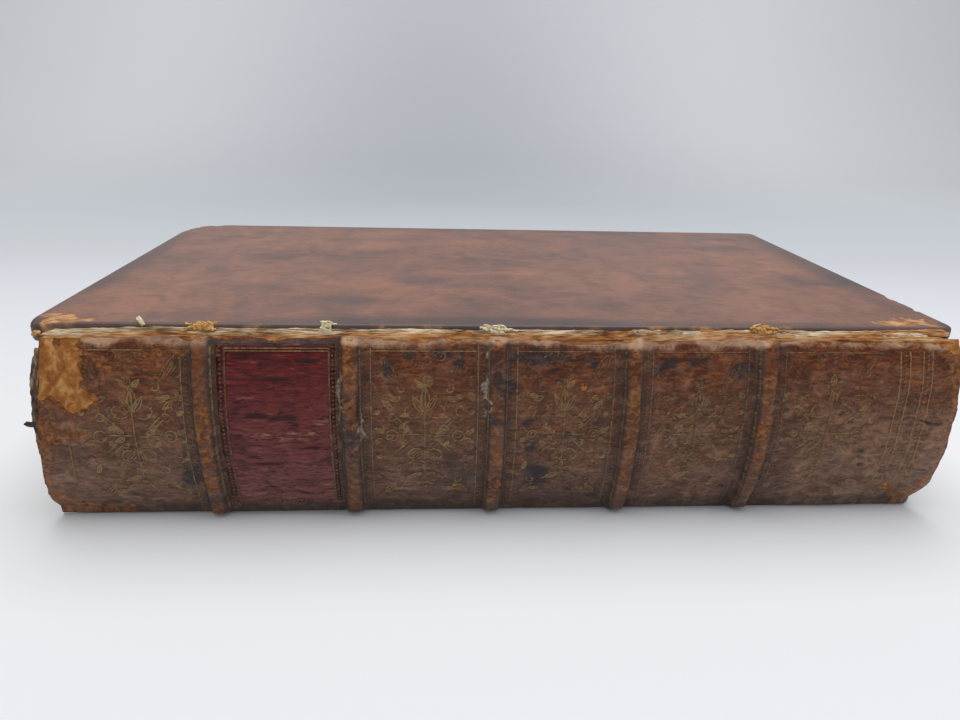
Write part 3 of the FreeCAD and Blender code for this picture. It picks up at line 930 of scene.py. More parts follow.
    def fields(self, x: Grid, v: Grid) -> dict[str, Grid]:
        """What the finish is told about each place.

        Args:
            x: places along the back.
            v: places down the back.

        Returns:
            The fields by name.
        """
        a = x + 2.4 * self.warp(x, v, 3, 3)
        b = v + 2.4 * self.warp(x + 50, v, 3, 3)
        pits = [Spot(px, pv, 1.5, 1.0) for px, pv in self.pits]
        # Stains, with painted shade in the pits and along the split.
        stains_and_shade = np.maximum.reduce([
            0.78 * spots_field(self.stains, a, b, 1.7, 0.6),
            0.9 * spots_field(pits, x, v, 0.8, 0.3),
            1.3 * self.split(x, v),
        ])
        return {
            "raw": self.torn(x, v), "rub": self.rubbed(x, v), "dirt_and_shade": self.dirty(x, v),
            "warm": self.warm(x, v), "stains_and_shade": stains_and_shade, "chalk": 0.6 * spots_field(self.scuffs, a, v, 1.4, 0.4),
            "pale": self.faded_and_highlit(x, v),
        }

    def relief(self, x: Grid, v: Grid) -> Grid:
        """Height of the surface over a plain round back.

        Args:
            x: places along the back.
            v: places down the back.

        Returns:
            The height in millimetres.
        """
        off = self.off_band(x + 0.5 * self.warp(x, v, 60, 9))
        crest = ease(self.band_foot, self.band_half_width, off)
        crest = crest * (0.35 + 0.65 * ease(-0.5, 3.0, v))
        rope = 0.16 * self.nap(x, v, 1.2, 0.8) * ease(2.2, 1.4, off)
        border = -0.10 * ease(0.5, 0.15, np.abs(off - 3.2)) - 0.14 * ease(0.6, 0.2, np.abs(off - 2.5))
        swell = 0.55 * self.warp(x, v, 16, 11) + 0.2 * self.warp(x, v, 3, 2)
        lines = 0.14 * self.craze(x, v, 5.0, 1.1) + 0.1 * self.nap(x, v, 1.3, 0.9)
        shoulder = -0.45 * ease(2.4, 0.0, v)
        ends = -0.5 * ease(self.head_x + 2.5, self.head_x, x) - 0.5 * ease(self.tail_x - 2.5, self.tail_x, x)
        bare = self.torn(x, v)
        torn = -0.3 * bare + 0.05 * bare * self.nap(x, v, 1.4, 1.0)
        pits = sum(-0.35 * ease(0.8, 0.2, np.hypot((x - a) / 1.3, v - b)) for a, b in self.pits)
        total = self.band_height * crest + rope + border + swell * (1 - 0.5 * crest) + lines
        return total + shoulder + ends + torn + pits - 0.45 * self.split(x, v)

    def point(self, x: Grid, v: Grid, lift: float = 0.0) -> Grid:
        """Places on the finished surface.

        Args:
            x: places along the back.
            v: places down the back, from its upper edge.
            lift: height above the surface.

        Returns:
            Points in the book's frame.
        """
        angle = self.top_angle - v / self.radius
        reach = self.radius + np.maximum(self.relief(x, v), -0.62) + lift
        y = self.axis_y - reach * np.cos(angle)
        z = self.axis_z + reach * np.sin(angle)
        return np.stack([self.along(x, v), y, np.maximum(z, 0.05)], -1)

    def along(self, x: Grid, v: Grid) -> Grid:
        """Place along the back once the torn ends are drawn in."""
        fray = 0.9 * self.nap(np.full_like(v, 9), v, 1, 7.0, 2)
        fray = fray + 0.24 * self.nap(np.full_like(v, 3), v, 1, 1.3, 4)
        head = route_at(self.head_line, v) + fray - self.head_x
        tail = route_at(self.tail_line, v) + fray - self.tail_x
        head = head * ease(self.head_x + 12, self.head_x, x)
        return x + head + tail * ease(self.tail_x - 9, self.tail_x, x)

    def inner_rings(self, outer: Grid) -> Grid:
        """The hidden rest of each ring: the curl under the foot, then the inner face up to the joint.

        Args:
            outer: points of the outer face, by column and row.

        Returns:
            Points by column, in order round the ring.
        """
        foot = outer[:, -1]
        flat = np.ones(len(outer))
        rings = []
        for step, (y, z) in enumerate(self.curl, 1):
            proud = (foot[:, 1] - self.curl_start_y) * (1 - step / len(self.curl))
            rings.append(np.stack([foot[:, 0], y + proud, z * flat], -1))
        angle = np.linspace(self.inner_foot_angle, self.top_angle, 12)
        inner_y = self.axis_y - self.inner_radius * np.cos(angle)
        inner_z = self.axis_z + self.inner_radius * np.sin(angle)
        places = [self.inner_foot, *zip(inner_y, inner_z)]
        for share, (y, z) in zip(np.linspace(1, 0, len(places)), places):
            x = outer[:, 0, 0] * (1 - share) + foot[:, 0] * share
            rings.append(np.stack([x, y * flat, z * flat], -1))
        return np.stack(rings, 1)

    def build(self, finish: Finish) -> bpy.types.Object:
        """Makes the skin.

        Args:
            finish: its leather.

        Returns:
            The piece.
        """
        columns = int((self.tail_x - self.head_x) / self.spacing)
        rows = int(self.length / self.spacing)
        x = np.linspace(self.head_x, self.tail_x, columns)
        v = np.linspace(0, self.length, rows)
        outer = self.point(*np.meshgrid(x, v, indexing="ij"))
        inner = self.inner_rings(outer)
        turned_v = self.length + np.linspace(0.5, 3, inner.shape[1])
        all_x, all_v = np.meshgrid(x, np.concatenate([v, turned_v]), indexing="ij")
        fields = self.fields(all_x, np.minimum(all_v, self.length))
        fields["raw"][:, rows + len(self.curl) - 1 :] = 1
        fields["lay"] = laid(all_x, all_v)
        skin = lofted("back_skin", np.concatenate([outer, inner], 1), finish, fields)
        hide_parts("spine_leather")
        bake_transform(skin)
        return skin


@dataclass
class Strokes:
    """Lines and dots of hand tools, laid flat on the back before they are struck.

    Each line leans a little to the light, as the floor of a struck line does.
    """

    back: Back
    lift: float = 0.03
    lean: float = 0.1
    light: tuple[float, float] = (0.45, 0.9)
    points: list = field(default_factory=list)
    lifts: list = field(default_factory=list)
    faces: list = field(default_factory=list)
    gold: list = field(default_factory=list)
    dark: list = field(default_factory=list)
    count: int = 0

    def keep(self, flat: Grid, lit: Grid, gold: float) -> None:
        """Keeps a stroke's places, how much each faces the light, and its share of leaf."""
        self.points.append(flat)
        self.lifts.append(self.lift + self.lean * (0.5 + 0.5 * lit))
        # Painted highlight: the side that faces the light keeps more leaf.
        self.gold.append(gold * (0.5 + 0.5 * lit))
        # Painted shade: the side that faces away from the light is darker.
        self.dark.append(0.5 - 0.42 * lit)
        self.count += len(flat)

    def ribbon(self, line: Line, width: float, gold: float, taper: bool = False) -> None:
        """Adds a narrow strip along a line, with painted shade on its upper side and a painted highlight of
        leaf on its lower side.

        Args:
            line: places (x, v) along it.
            width: its width.
            gold: how much of its leaf is left, from 0 to 1.
            taper: whether it narrows to both ends.
        """
        way = np.gradient(line, axis=0)
        way /= np.maximum(np.linalg.norm(way, axis=1, keepdims=True), 1e-9)
        side = np.stack([-way[:, 1], way[:, 0]], -1)
        lit = side @ np.array(self.light)
        if taper:
            width = width * np.sqrt(np.sin(np.linspace(0.08, math.pi - 0.08, len(line))))[:, None]
        start = self.count
        for k in range(len(line) - 1):
            a = start + 2 * k
            self.faces.append([a, a + 1, a + 3, a + 2])
        flat = np.stack([line + side * width / 2, line - side * width / 2], 1).reshape(-1, 2)
        self.keep(flat, np.stack([lit, -lit], -1).ravel(), gold)

    def dot(self, x: float, v: float, radius: float, gold: float) -> None:
        """Adds a filled dot."""
        turn = np.linspace(0, 2 * math.pi, 9)[:-1]
        around = np.stack([np.cos(turn), np.sin(turn)], -1)
        self.faces.append(list(range(self.count, self.count + 8)))
        self.keep(around * radius + (x, v), around @ np.array(self.light), gold)

    def build(self, name: str, finish: Finish, slot: str) -> bpy.types.Object:
        """Makes all strokes one piece on the back.

        Args:
            name: the piece's name.
            finish: the gilt.
            slot: not used.

        Returns:
            The piece, riding on the book block.
        """
        flat = np.concatenate(self.points)
        x, v = flat[:, 0], flat[:, 1]
        fields = self.back.fields(x, v)
        bare = np.maximum(fields["raw"], fields["rub"])
        gold = np.concatenate(self.gold) * (1 - 0.8 * np.clip(bare, 0, 1))
        # The struck field: the blind impression, with painted shade on each stroke's side away from the
        # light.
        dark = np.concatenate(self.dark) * (1 - fields["raw"])
        fields.update(gold=gold, struck=dark, lay=laid(x, v))
        points = self.back.point(x, v, np.concatenate(self.lifts))
        struck = piece(name, points, self.faces, finish.build(), fields)
        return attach(struck, "book_block")


class Tool(Enum):
    """The finisher's brass hand tools."""

    LEAF = "leaf"
    RING = "ring"
    DOT = "dot"
    SCROLL = "scroll"
    LINE = "line"


LEAF, RING, DOT, SCROLL, LINE = Tool


@dataclass(frozen=True)
class Mark:
    """One stroke of a tool, on the right half of a panel; the left half mirrors it.

    A leaf, scroll or line starts at its place and goes to the given angle, in degrees, where 90
    is down the back. A scroll's turns are how far it winds, and negative winds it the other way.
    """

    tool: Tool
    x: float
    v: float
    size: float
    angle: float = 0.0
    wide: float = 0.0


@dataclass
class Tooling:
    """Fillets, dotted rolls and a traditional floral ornament in the panels of the back."""

    back: Back
    panels: tuple[tuple[float, float, float, float], ...] = (
        (-85.4, 0.98, 0.88, 81), (-21.0, 1.0, 0.76, 82), (11.1, 0.93, 0.66, 83),
        (42.4, 0.93, 0.55, 84), (74.4, 1.0, 0.55, 85),
    )
    fillet: float = 0.38
    stroke: float = 0.5
    roll_pitch: float = 0.95
    dot: float = 0.25
    unsteady: float = 0.16
    upper_leaf: float = 0.55
    fillet_offsets: tuple[float, float] = (2.1, 4.45)
    roll_offset: float = 3.3
    tail_fillets: tuple[float, ...] = (90.4, 92.7, 96.0, 98.3)
    tail_rolls: tuple[float, ...] = (91.55, 97.15)
    tail_reach: tuple[float, float] = (3.0, 38.0)
    tail_fillet_gold: float = 1.1
    tail_roll_gold: float = 0.8
    leaf_left: tuple[float, ...] = (0.95, 0.8, 0.85, 0.7, 0.6)
    band_start: float = 2.4
    fillet_end_gap: float = 0.5
    roll_end_gap: float = 1.0
    band_roll_share: float = 0.7
    edge_fillet_at: float = 3.3
    edge_roll_at: float = 2.3
    edge_roll_share: float = 0.6
    stem_reach: tuple[float, float] = (12.0, 35.0)
    head_fillet: tuple[tuple[float, float], tuple[float, float]] = ((-100.2, 24.5), (-100.4, 35.0))
    half: float = 11.8
    marks: tuple[Mark, ...] = (
        Mark(LEAF, 11.1, 3.8, 8.2, 127, 2.1), Mark(LEAF, 9.9, 4.6, 5.6, 118, 1.2),
        Mark(DOT, 10.6, 8.9, 0.55), Mark(LEAF, 10.2, 12.6, 2.6, 60, 1.0), Mark(RING, 3.6, 4.5, 0.95),
        Mark(DOT, 3.6, 4.5, 0.4), Mark(DOT, 2.3, 4.2, 0.4), Mark(DOT, 4.9, 4.3, 0.4),
        Mark(DOT, 3.6, 6.1, 0.4), Mark(LEAF, 0.0, 11.2, 2.6, -90, 1.2),
        Mark(LEAF, 0.2, 11.6, 2.7, -42, 1.0), Mark(LEAF, 0.0, 17.0, 5.4, -90, 1.9),
        Mark(LEAF, 0.3, 17.2, 4.6, -58, 1.4), Mark(SCROLL, 0.3, 17.4, 2.9, -18, -0.7),
        Mark(SCROLL, 0.4, 13.6, 1.9, -70, 0.72), Mark(LEAF, 5.2, 13.8, 2.4, 18, 1.0),
        Mark(LEAF, 9.4, 14.6, 3.2, 140, 1.1), Mark(LEAF, 8.6, 13.6, 2.2, 175, 0.9),
        Mark(RING, 7.2, 18.5, 0.9), Mark(SCROLL, 8.2, 18.4, 1.7, -80, 0.8), Mark(DOT, 10.7, 17.4, 0.85),
        Mark(LINE, 6.4, 18.0, 5.0, 135), Mark(LINE, 7.0, 18.7, 5.0, 135),
        Mark(LINE, 6.2, 28.0, 4.6, -137), Mark(LINE, 6.8, 27.4, 4.6, -137),
        Mark(LINE, 0.6, 22.8, 5.4, 0), Mark(LEAF, 2.2, 22.4, 2.8, -28, 1.0),
        Mark(LEAF, 2.2, 23.2, 2.8, 28, 1.0), Mark(RING, 7.7, 23.0, 1.35), Mark(RING, 7.7, 23.0, 0.6),
        Mark(LEAF, 9.2, 22.3, 2.4, -24, 0.9), Mark(LEAF, 9.2, 23.8, 2.4, 24, 0.9),
        Mark(LEAF, 5.6, 21.6, 2.0, -130, 0.8), Mark(LEAF, 5.6, 24.4, 2.0, 130, 0.8),
        Mark(SCROLL, 0.3, 27.4, 2.6, 26, 0.72), Mark(LEAF, 0.2, 27.0, 4.2, 48, 1.3),
        Mark(SCROLL, 7.6, 29.2, 1.5, -10, -0.9), Mark(SCROLL, 5.4, 31.0, 1.1, 70, 0.8),
        Mark(DOT, 10.6, 28.8, 0.85), Mark(SCROLL, 0.2, 33.4, 3.4, -62, 0.34),
        Mark(SCROLL, 0.2, 34.2, 2.2, -50, 0.42), Mark(LEAF, 0.3, 33.6, 4.6, 24, 1.0),
        Mark(RING, 0.0, 36.0, 0.8), Mark(DOT, 1.5, 36.6, 0.36), Mark(DOT, 0.0, 38.2, 0.4),
        Mark(DOT, 2.4, 38.6, 0.36), Mark(LEAF, 9.8, 40.2, 4.4, -132, 1.4),
        Mark(LEAF, 7.2, 39.0, 2.4, -160, 0.9), Mark(DOT, 5.0, 37.2, 0.36), Mark(RING, 0.0, 5.2, 0.9),
        Mark(LEAF, 0.9, 5.6, 1.8, 40, 0.8), Mark(LEAF, 0.9, 4.8, 1.8, -40, 0.8),
        Mark(SCROLL, 6.0, 10.6, 1.3, 120, 0.8), Mark(SCROLL, 3.2, 19.6, 1.2, 60, 0.8),
        Mark(LEAF, 3.4, 17.8, 2.2, 10, 0.8), Mark(LEAF, 3.6, 20.6, 2.2, 60, 0.8),
        Mark(SCROLL, 3.0, 25.4, 1.0, 200, 0.8), Mark(LEAF, 9.8, 33.0, 2.6, -110, 0.9),
        Mark(SCROLL, 8.4, 35.4, 1.2, 160, 0.8), Mark(DOT, 3.2, 30.6, 0.36), Mark(DOT, 5.2, 26.0, 0.36),
        Mark(DOT, 4.4, 16.2, 0.36), Mark(DOT, 11.0, 24.9, 0.4), Mark(DOT, 11.0, 21.2, 0.4),
    )

    def fillet_line(
        self, strokes: Strokes, start: tuple[float, float], end: tuple[float, float], gold: float
    ) -> None:
        """A straight fillet from start to end."""
        count = max(2, int(math.dist(start, end) / 0.6))
        strokes.ribbon(np.linspace(start, end, count), self.fillet, gold)

    def roll(
        self, strokes: Strokes, start: tuple[float, float], end: tuple[float, float], gold: float
    ) -> None:
        """A row of dots from start to end."""
        for x, v in np.linspace(start, end, max(2, int(math.dist(start, end) / self.roll_pitch))):
            strokes.dot(x, v, self.dot, gold)

    def lines(self, mark: Mark) -> list[Line]:
        """The lines of one mark round its own place.

        Args:
            mark: the stroke.

        Returns:
            Places along each of its lines.
        """
        t = np.linspace(0, 1, 20)[:, None]
        a = math.radians(mark.angle)
        way, side = np.array([math.cos(a), math.sin(a)]), np.array([-math.sin(a), math.cos(a)])
        if mark.tool is LINE:
            return [t * mark.size * way]
        if mark.tool is LEAF:
            bow = np.sin(math.pi * t**0.85) * mark.wide / 2
            return [t * mark.size * way + k * bow * side for k in (-1, 0, 1)]
        if mark.tool is RING:
            turn = 2 * math.pi * t
            return [mark.size * np.concatenate([np.cos(turn), np.sin(turn)], 1)]
        turn = a + math.pi + mark.wide * 2 * math.pi * t
        arm = mark.size * (1 - 0.8 * t**0.8)
        return [mark.size * way + arm * np.concatenate([np.cos(turn), np.sin(turn)], 1)]

    def ornament(self, strokes: Strokes, middle: float, scale: float, gold: float, seed: int) -> None:
        """Strikes one panel's ornament, each mark a little off its place as by hand.

        Args:
            strokes: where it is struck.
            middle: the panel's middle.
            scale: its width against the widest.
            gold: share of leaf.
            seed: which hand.
        """
        chance = np.random.default_rng(seed)
        start, end = ((middle, v) for v in self.stem_reach)
        strokes.ribbon(np.linspace(start, end, 40), self.stroke, gold, True)
        for mark in self.marks:
            for side in (-1, 1) if mark.x else (1,):
                off = chance.normal(0, self.unsteady, 2)
                left = float(np.clip(gold + chance.normal(0, self.unsteady), 0, 1.2))
                left *= self.upper_leaf if mark.v < 10 else 1
                if mark.tool is DOT:
                    x = middle + side * scale * mark.x + off[0]
                    strokes.dot(x, mark.v + off[1], mark.size, left)
                    continue
                for line in self.lines(mark):
                    placed = (line + (mark.x, mark.v)) * (side * scale, 1) + (middle, 0) + off
                    strokes.ribbon(placed, self.stroke, left, mark.tool is not RING)

    def build(self, finish: Finish) -> bpy.types.Object:
        """Draws every panel and strikes it.

        Args:
            finish: the gilt.

        Returns:
            The piece.
        """
        strokes, foot, start = Strokes(self.back), self.back.length, self.band_start
        for band, left in zip(self.back.bands, self.leaf_left):
            for side in (-1, 1):
                for offset in self.fillet_offsets:
                    x = band + side * offset
                    self.fillet_line(strokes, (x, start), (x, foot - self.fillet_end_gap), left)
                x = band + side * self.roll_offset
                end = foot - self.roll_end_gap
                self.roll(strokes, (x, start), (x, end), left * self.band_roll_share)
        for middle, scale, gold, seed in self.panels:
            self.ornament(strokes, middle, scale, gold, seed)
            low, high = middle - self.half * scale, middle + self.half * scale
            v = self.edge_fillet_at
            self.fillet_line(strokes, (low, v), (high, v), gold)
            v = self.edge_roll_at
            self.roll(strokes, (low, v), (high, v), gold * self.edge_roll_share)
        start, end = self.tail_reach
        for x in self.tail_fillets:
            self.fillet_line(strokes, (x, start), (x, end), self.tail_fillet_gold)
        for x in self.tail_rolls:
            self.roll(strokes, (x, start), (x, end), self.tail_roll_gold)
        self.fillet_line(strokes, *self.head_fillet, 1.0)
        return strokes.build("gilt_tooling", finish, "calf")


@dataclass
class Label:
    """The red label pasted into the second panel, with its gilt border and no lettering."""

    back: Back
    left: float = -66.6
    right: float = -40.7
    top: float = 1.9
    bottom: float = 43.2
    thickness: float = 0.28
    spacing: float = 0.24
    frame: tuple[float, float, float, float] = (1.9, 1.4, 0.9, 1.0)
    scuffs: tuple[Spot, ...] = (
        Spot(-58.6, 18.0, 3.6, 0.9), Spot(-52.4, 18.6, 3.8, 1.1), Spot(-61.0, 4.6, 3.0, 0.9),
        Spot(-47.0, 5.6, 3.4, 0.8), Spot(-55.0, 9.6, 6.0, 0.6), Spot(-46.0, 26.0, 3.0, 0.7),
        Spot(-57.0, 30.4, 5.0, 0.6),
    )
    flecks: tuple[Spot, ...] = (
        Spot(-58.0, 22.6, 4.6, 0.7), Spot(-48.6, 22.4, 6.2, 0.6), Spot(-44.0, 19.4, 2.0, 1.2),
        Spot(-52.0, 23.6, 6.0, 0.5), Spot(-44.6, 36.6, 2.6, 0.5), Spot(-60.8, 14.0, 2.4, 0.5),
    )
    wrinkle: Noise = Noise(31)

    def fields(self, x: Grid, v: Grid, edge: Grid) -> dict[str, Grid]:
        """What the finish is told about each place.

        Args:
            x, v: places along and down the back, by column and round the ring.
            edge: distance to the label's edge, on its face.

        Returns:
            The fields by name.
        """
        face = edge.shape[1]
        raw = np.zeros(x.shape)
        frayed = edge + 1.2 * self.wrinkle(x[:, :face], v[:, :face], 3, 2)
        raw[:, :face] = 0.55 * ease(0.9, 0.1, frayed)
        left, right, upper, lower = self.frame
        inset = np.minimum.reduce([
            (x - self.left) / left, (self.right - x) / right,
            (v - self.top) / upper, (self.bottom - v) / lower,
        ])
        rim = 0.55 * ease(1.0, 0.75, inset)
        return {
            "raw": raw, "lay": laid(x, v),
            "scuff": np.maximum(0.74 * spots_field(self.scuffs, x, v, 1.5, 0.3), rim),
            "fleck": 0.42 * spots_field(self.flecks, x, v, 1.5, 0.3),
        }

    def build(self, finish: Finish, gilt: Finish) -> bpy.types.Object:
        """Makes the label.

        Args:
            finish: its goatskin.
            gilt: its border.

        Returns:
            The label, riding on the book block.
        """
        x = np.arange(self.left, self.right, self.spacing)
        v = np.arange(self.top, self.bottom, self.spacing)
        gx, gv = np.meshgrid(x, v, indexing="ij")
        edge = np.minimum.reduce([gx - x[0], x[-1] - gx, gv - v[0], v[-1] - gv])
        grain = 0.26 * self.wrinkle(gx, gv, 2.4, 0.8, 3) + 0.1 * self.wrinkle(gx, gv, 0.6, 0.5)
        lift = 0.12 + self.thickness * ease(-0.1, 0.5, edge) + grain * ease(0, 1, edge)
        top = self.back.point(gx, gv, lift)
        back_v = v[::-1][:: len(v) // 8]
        under = self.back.point(*np.meshgrid(x, back_v, indexing="ij"), -0.5)
        all_x, all_v = np.meshgrid(x, np.concatenate([v, back_v]), indexing="ij")
        fields = self.fields(all_x, all_v, edge)
        label = lofted("label", np.concatenate([top, under], 1), finish, fields)
        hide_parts("title_label")
        self.border(gilt)
        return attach(label, "book_block")

    def border(self, gilt: Finish) -> bpy.types.Object:
        """Makes the gilt frame on the label, riding on the book block."""
        strokes, tooling = Strokes(self.back, lift=0.5), Tooling(self.back)
        left, right = self.left + self.frame[0], self.right - self.frame[1]
        top, foot = self.top + self.frame[2], self.bottom - self.frame[3]
        for x in (left, right):
            tooling.fillet_line(strokes, (x, top), (x, foot), 0.55)
        for x in (left - 1.0, right + 0.8):
            tooling.roll(strokes, (x, top - 0.4), (x, foot), 0.5)
        for v in (top, top + 0.6):
            tooling.fillet_line(strokes, (left, v), (right, v), 0.62)
        tooling.roll(strokes, (left, foot), (right, foot), 0.6)
        return strokes.build("label_border", gilt, "morocco_label")


@dataclass
class HeadTurnIn:
    """The dark turned-in leather that stands past the torn head of the back."""

    back: Back
    outer: Route = (
        (3, -104.9), (5, -105.8), (9, -106.6), (14, -106.6), (20, -107.1), (24, -107.4),
        (28, -107.2), (32, -106.6), (38, -106.0), (42, -105.0),
    )
    inner_x: float = -102.4
    inner_radius: float = 54.75
    outer_radius: float = 55.3
    rows: int = 110
    tear: Noise = Noise(91)

    def build(self, finish: Finish) -> bpy.types.Object:
        """Makes the strip.

        Args:
            finish: its dark leather.

        Returns:
            The piece, riding on the book block.
        """
        v = np.linspace(self.outer[0][0], self.outer[-1][0], self.rows)
        level = np.zeros_like(v)
        angle = self.back.top_angle - v / self.back.radius
        edge = route_at(self.outer, v) + 0.9 * self.tear(v, level, 3.4, 1, 4)
        low, high = self.inner_radius, self.outer_radius
        section = (
            (0, low), (0.5, low), (1, low + 0.1), (1, high - 0.1), (0.94, high), (0.5, high), (0, high),
        )
        rings = []
        for share, reach in section:
            swell = 0.16 * self.tear(v, level + 3 * share, 3, 1, 3) * share
            radius = reach + swell - 0.5 * share**3
            x = self.inner_x + (edge - self.inner_x) * share
            y = self.back.axis_y - radius * np.cos(angle)
            rings.append(np.stack([x, y, self.back.axis_z + radius * np.sin(angle)], -1))
        made = lofted("head_turn_in", np.stack(rings, 1), finish)
        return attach(made, "book_block")


# The torn upper joint


@dataclass(frozen=True)
class Layer:
    """One torn layer that stands along the joint.

    Its section's (y, z) corners run bottom outside, top outside, top inside, bottom inside.
    """

    name: str
    left: float
    right: float
    section: Route
    ragged: float
    seed: int
    leather: bool = False


@dataclass
class TornJoint:
    """What shows where the leather of the upper joint has cracked from end to end."""

    top_line: Route = (
        (-105, -0.45), (-99, -0.2), (-92, 0.12), (-80, 0.1), (-68, -0.05), (0, 0.0), (60, 0.12), (100, 0.0),
    )
    spacing: float = 0.35
    layers: tuple[Layer, ...] = (
        Layer("split_leather", -104.6, 104.8,
              ((-59.05, 45.0), (-58.86, 46.1), (-58.6, 46.05), (-58.4, 45.0)), 0.7, 42, True),
        Layer("split_leather_flap", -60.0, 103.0,
              ((-58.9, 45.3), (-58.68, 46.4), (-58.5, 46.35), (-58.45, 45.3)), 1.2, 48, True),
        Layer("torn_lining_head", -104.4, -59.5,
              ((-58.9, 45.6), (-58.64, 46.85), (-58.5, 46.8), (-58.45, 45.6)), 0.55, 43),
        Layer("torn_lining_second", -62.0, -33.5,
              ((-58.8, 46.0), (-58.52, 47.0), (-58.42, 46.95), (-58.4, 46.0)), 0.7, 53),
        Layer("torn_lining_middle", -28.6, 30.0,
              ((-58.8, 46.0), (-58.5, 47.05), (-58.4, 47.0), (-58.4, 46.0)), 1.0, 44),
        Layer("torn_lining_band", 24.0, 66.0,
              ((-58.84, 46.0), (-58.56, 47.05), (-58.44, 47.0), (-58.4, 46.0)), 1.1, 46),
        Layer("torn_lining_tail", 62.0, 97.5,
              ((-58.8, 46.0), (-58.52, 46.95), (-58.42, 46.9), (-58.4, 46.0)), 0.9, 47),
        Layer("torn_lining_inner", -103.6, 88.0,
              ((-58.35, 46.0), (-58.2, 47.25), (-58.1, 47.2), (-58.08, 46.0)), 0.5, 45),
        Layer("split_leather_inner", 40.0, 103.0,
              ((-58.3, 46.2), (-58.14, 47.45), (-58.06, 47.4), (-58.05, 46.2)), 0.9, 49, True),
    )

    def strip(self, layer: Layer, finish: Finish) -> bpy.types.Object:
        """Makes one layer, its top torn uneven and its ends torn away.

        Args:
            layer: the layer.
            finish: its fibre.

        Returns:
            The piece, riding on the book block.
        """
        tear = Noise(layer.seed)
        x = np.arange(layer.left, layer.right, self.spacing)
        level = np.zeros_like(x)
        wander = layer.ragged * (tear(x, level, 13, 1, 5) + 0.28 * tear(x, level + 5, 1.6, 1, 3))
        lean = 0.3 * tear(x, level + 9, 5, 1, 4)
        fade = ease(layer.left, layer.left + 3, x) * ease(layer.right, layer.right - 3, x)
        dip = route_at(self.top_line, x)
        (y0, z0), (y1, z1), (y2, z2), (y3, z3) = layer.section
        rings = []
        for share, y, z in (
            (0, y0, z0), (0.35, y0 * 0.6 + y1 * 0.4, z0 * 0.6 + z1 * 0.4), (0.8, y1 - 0.05, z1 - 0.2),
            (1, y1, z1), (1, y2, z2), (0.4, (y2 + y3) / 2, (z2 + z3) / 2), (0, y3, z3),
        ):
            height = z0 + (z - z0) * (0.3 + 0.7 * fade) + share * (wander + dip)
            rings.append(np.stack([x, y + share * lean * 0.5, np.maximum(height, z0 - 0.2)], -1))
        ring = np.stack(rings, 1)
        fields = {"lay": laid(ring[..., 0], ring[..., 2], ring[..., 1])}
        made = lofted(layer.name, ring, finish, fields)
        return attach(made, "book_block")

    def build(self, flesh: Finish, lining: Finish) -> None:
        """Makes the layers.

        Args:
            flesh: split leather.
            lining: torn paper lining.
        """
        for layer in self.layers:
            self.strip(layer, flesh if layer.leather else lining)


@dataclass
class Strand:
    """One short loose fibre or thread, thick at its root and fine at its tip."""

    points: Sequence[Sequence[float]]
    root: float
    tip: float
    sides: int = 6
    steps: int = 14
    smoothing: int = 3

    def mesh(self) -> Grid:
        """Its vertices in millimetres, by ring and by place in the ring."""
        spots = np.array(self.points, float)
        t = np.linspace(0, len(spots) - 1, self.steps)
        path = np.stack([np.interp(t, np.arange(len(spots)), spots[:, k]) for k in range(3)], -1)
        for _ in range(self.smoothing):
            path[1:-1] = (path[:-2] + 2 * path[1:-1] + path[2:]) / 4
        way = np.gradient(path, axis=0)
        way /= np.maximum(np.linalg.norm(way, axis=1, keepdims=True), 1e-9)
        across = np.cross(way, (0.31, 0.17, 0.93))
        across /= np.maximum(np.linalg.norm(across, axis=1, keepdims=True), 1e-9)
        other = np.cross(way, across)
        radius = np.linspace(self.root, self.tip, self.steps)[:, None, None]
        turn = np.linspace(0, 2 * math.pi, self.sides, endpoint=False)
        ring = np.cos(turn)[None, :, None] * across[:, None] + np.sin(turn)[None, :, None] * other[:, None]
        return path[:, None] + radius * ring


def strands_piece(name: str, strands: Sequence[Strand], finish: Finish) -> bpy.types.Object:
    """One piece made of many strands.

    Args:
        name: the piece's name.
        strands: its strands.
        finish: their fibre.

    Returns:
        The piece.
    """
    points, faces, first = [], [], 0
    for strand in strands:
        ring = strand.mesh()
        faces += [[first + k for k in face] for face in loft_faces(*ring.shape[:2])]
        points.append(ring.reshape(-1, 3))
        first += len(points[-1])
    made = piece(name, np.concatenate(points), faces, finish.build())
    return made


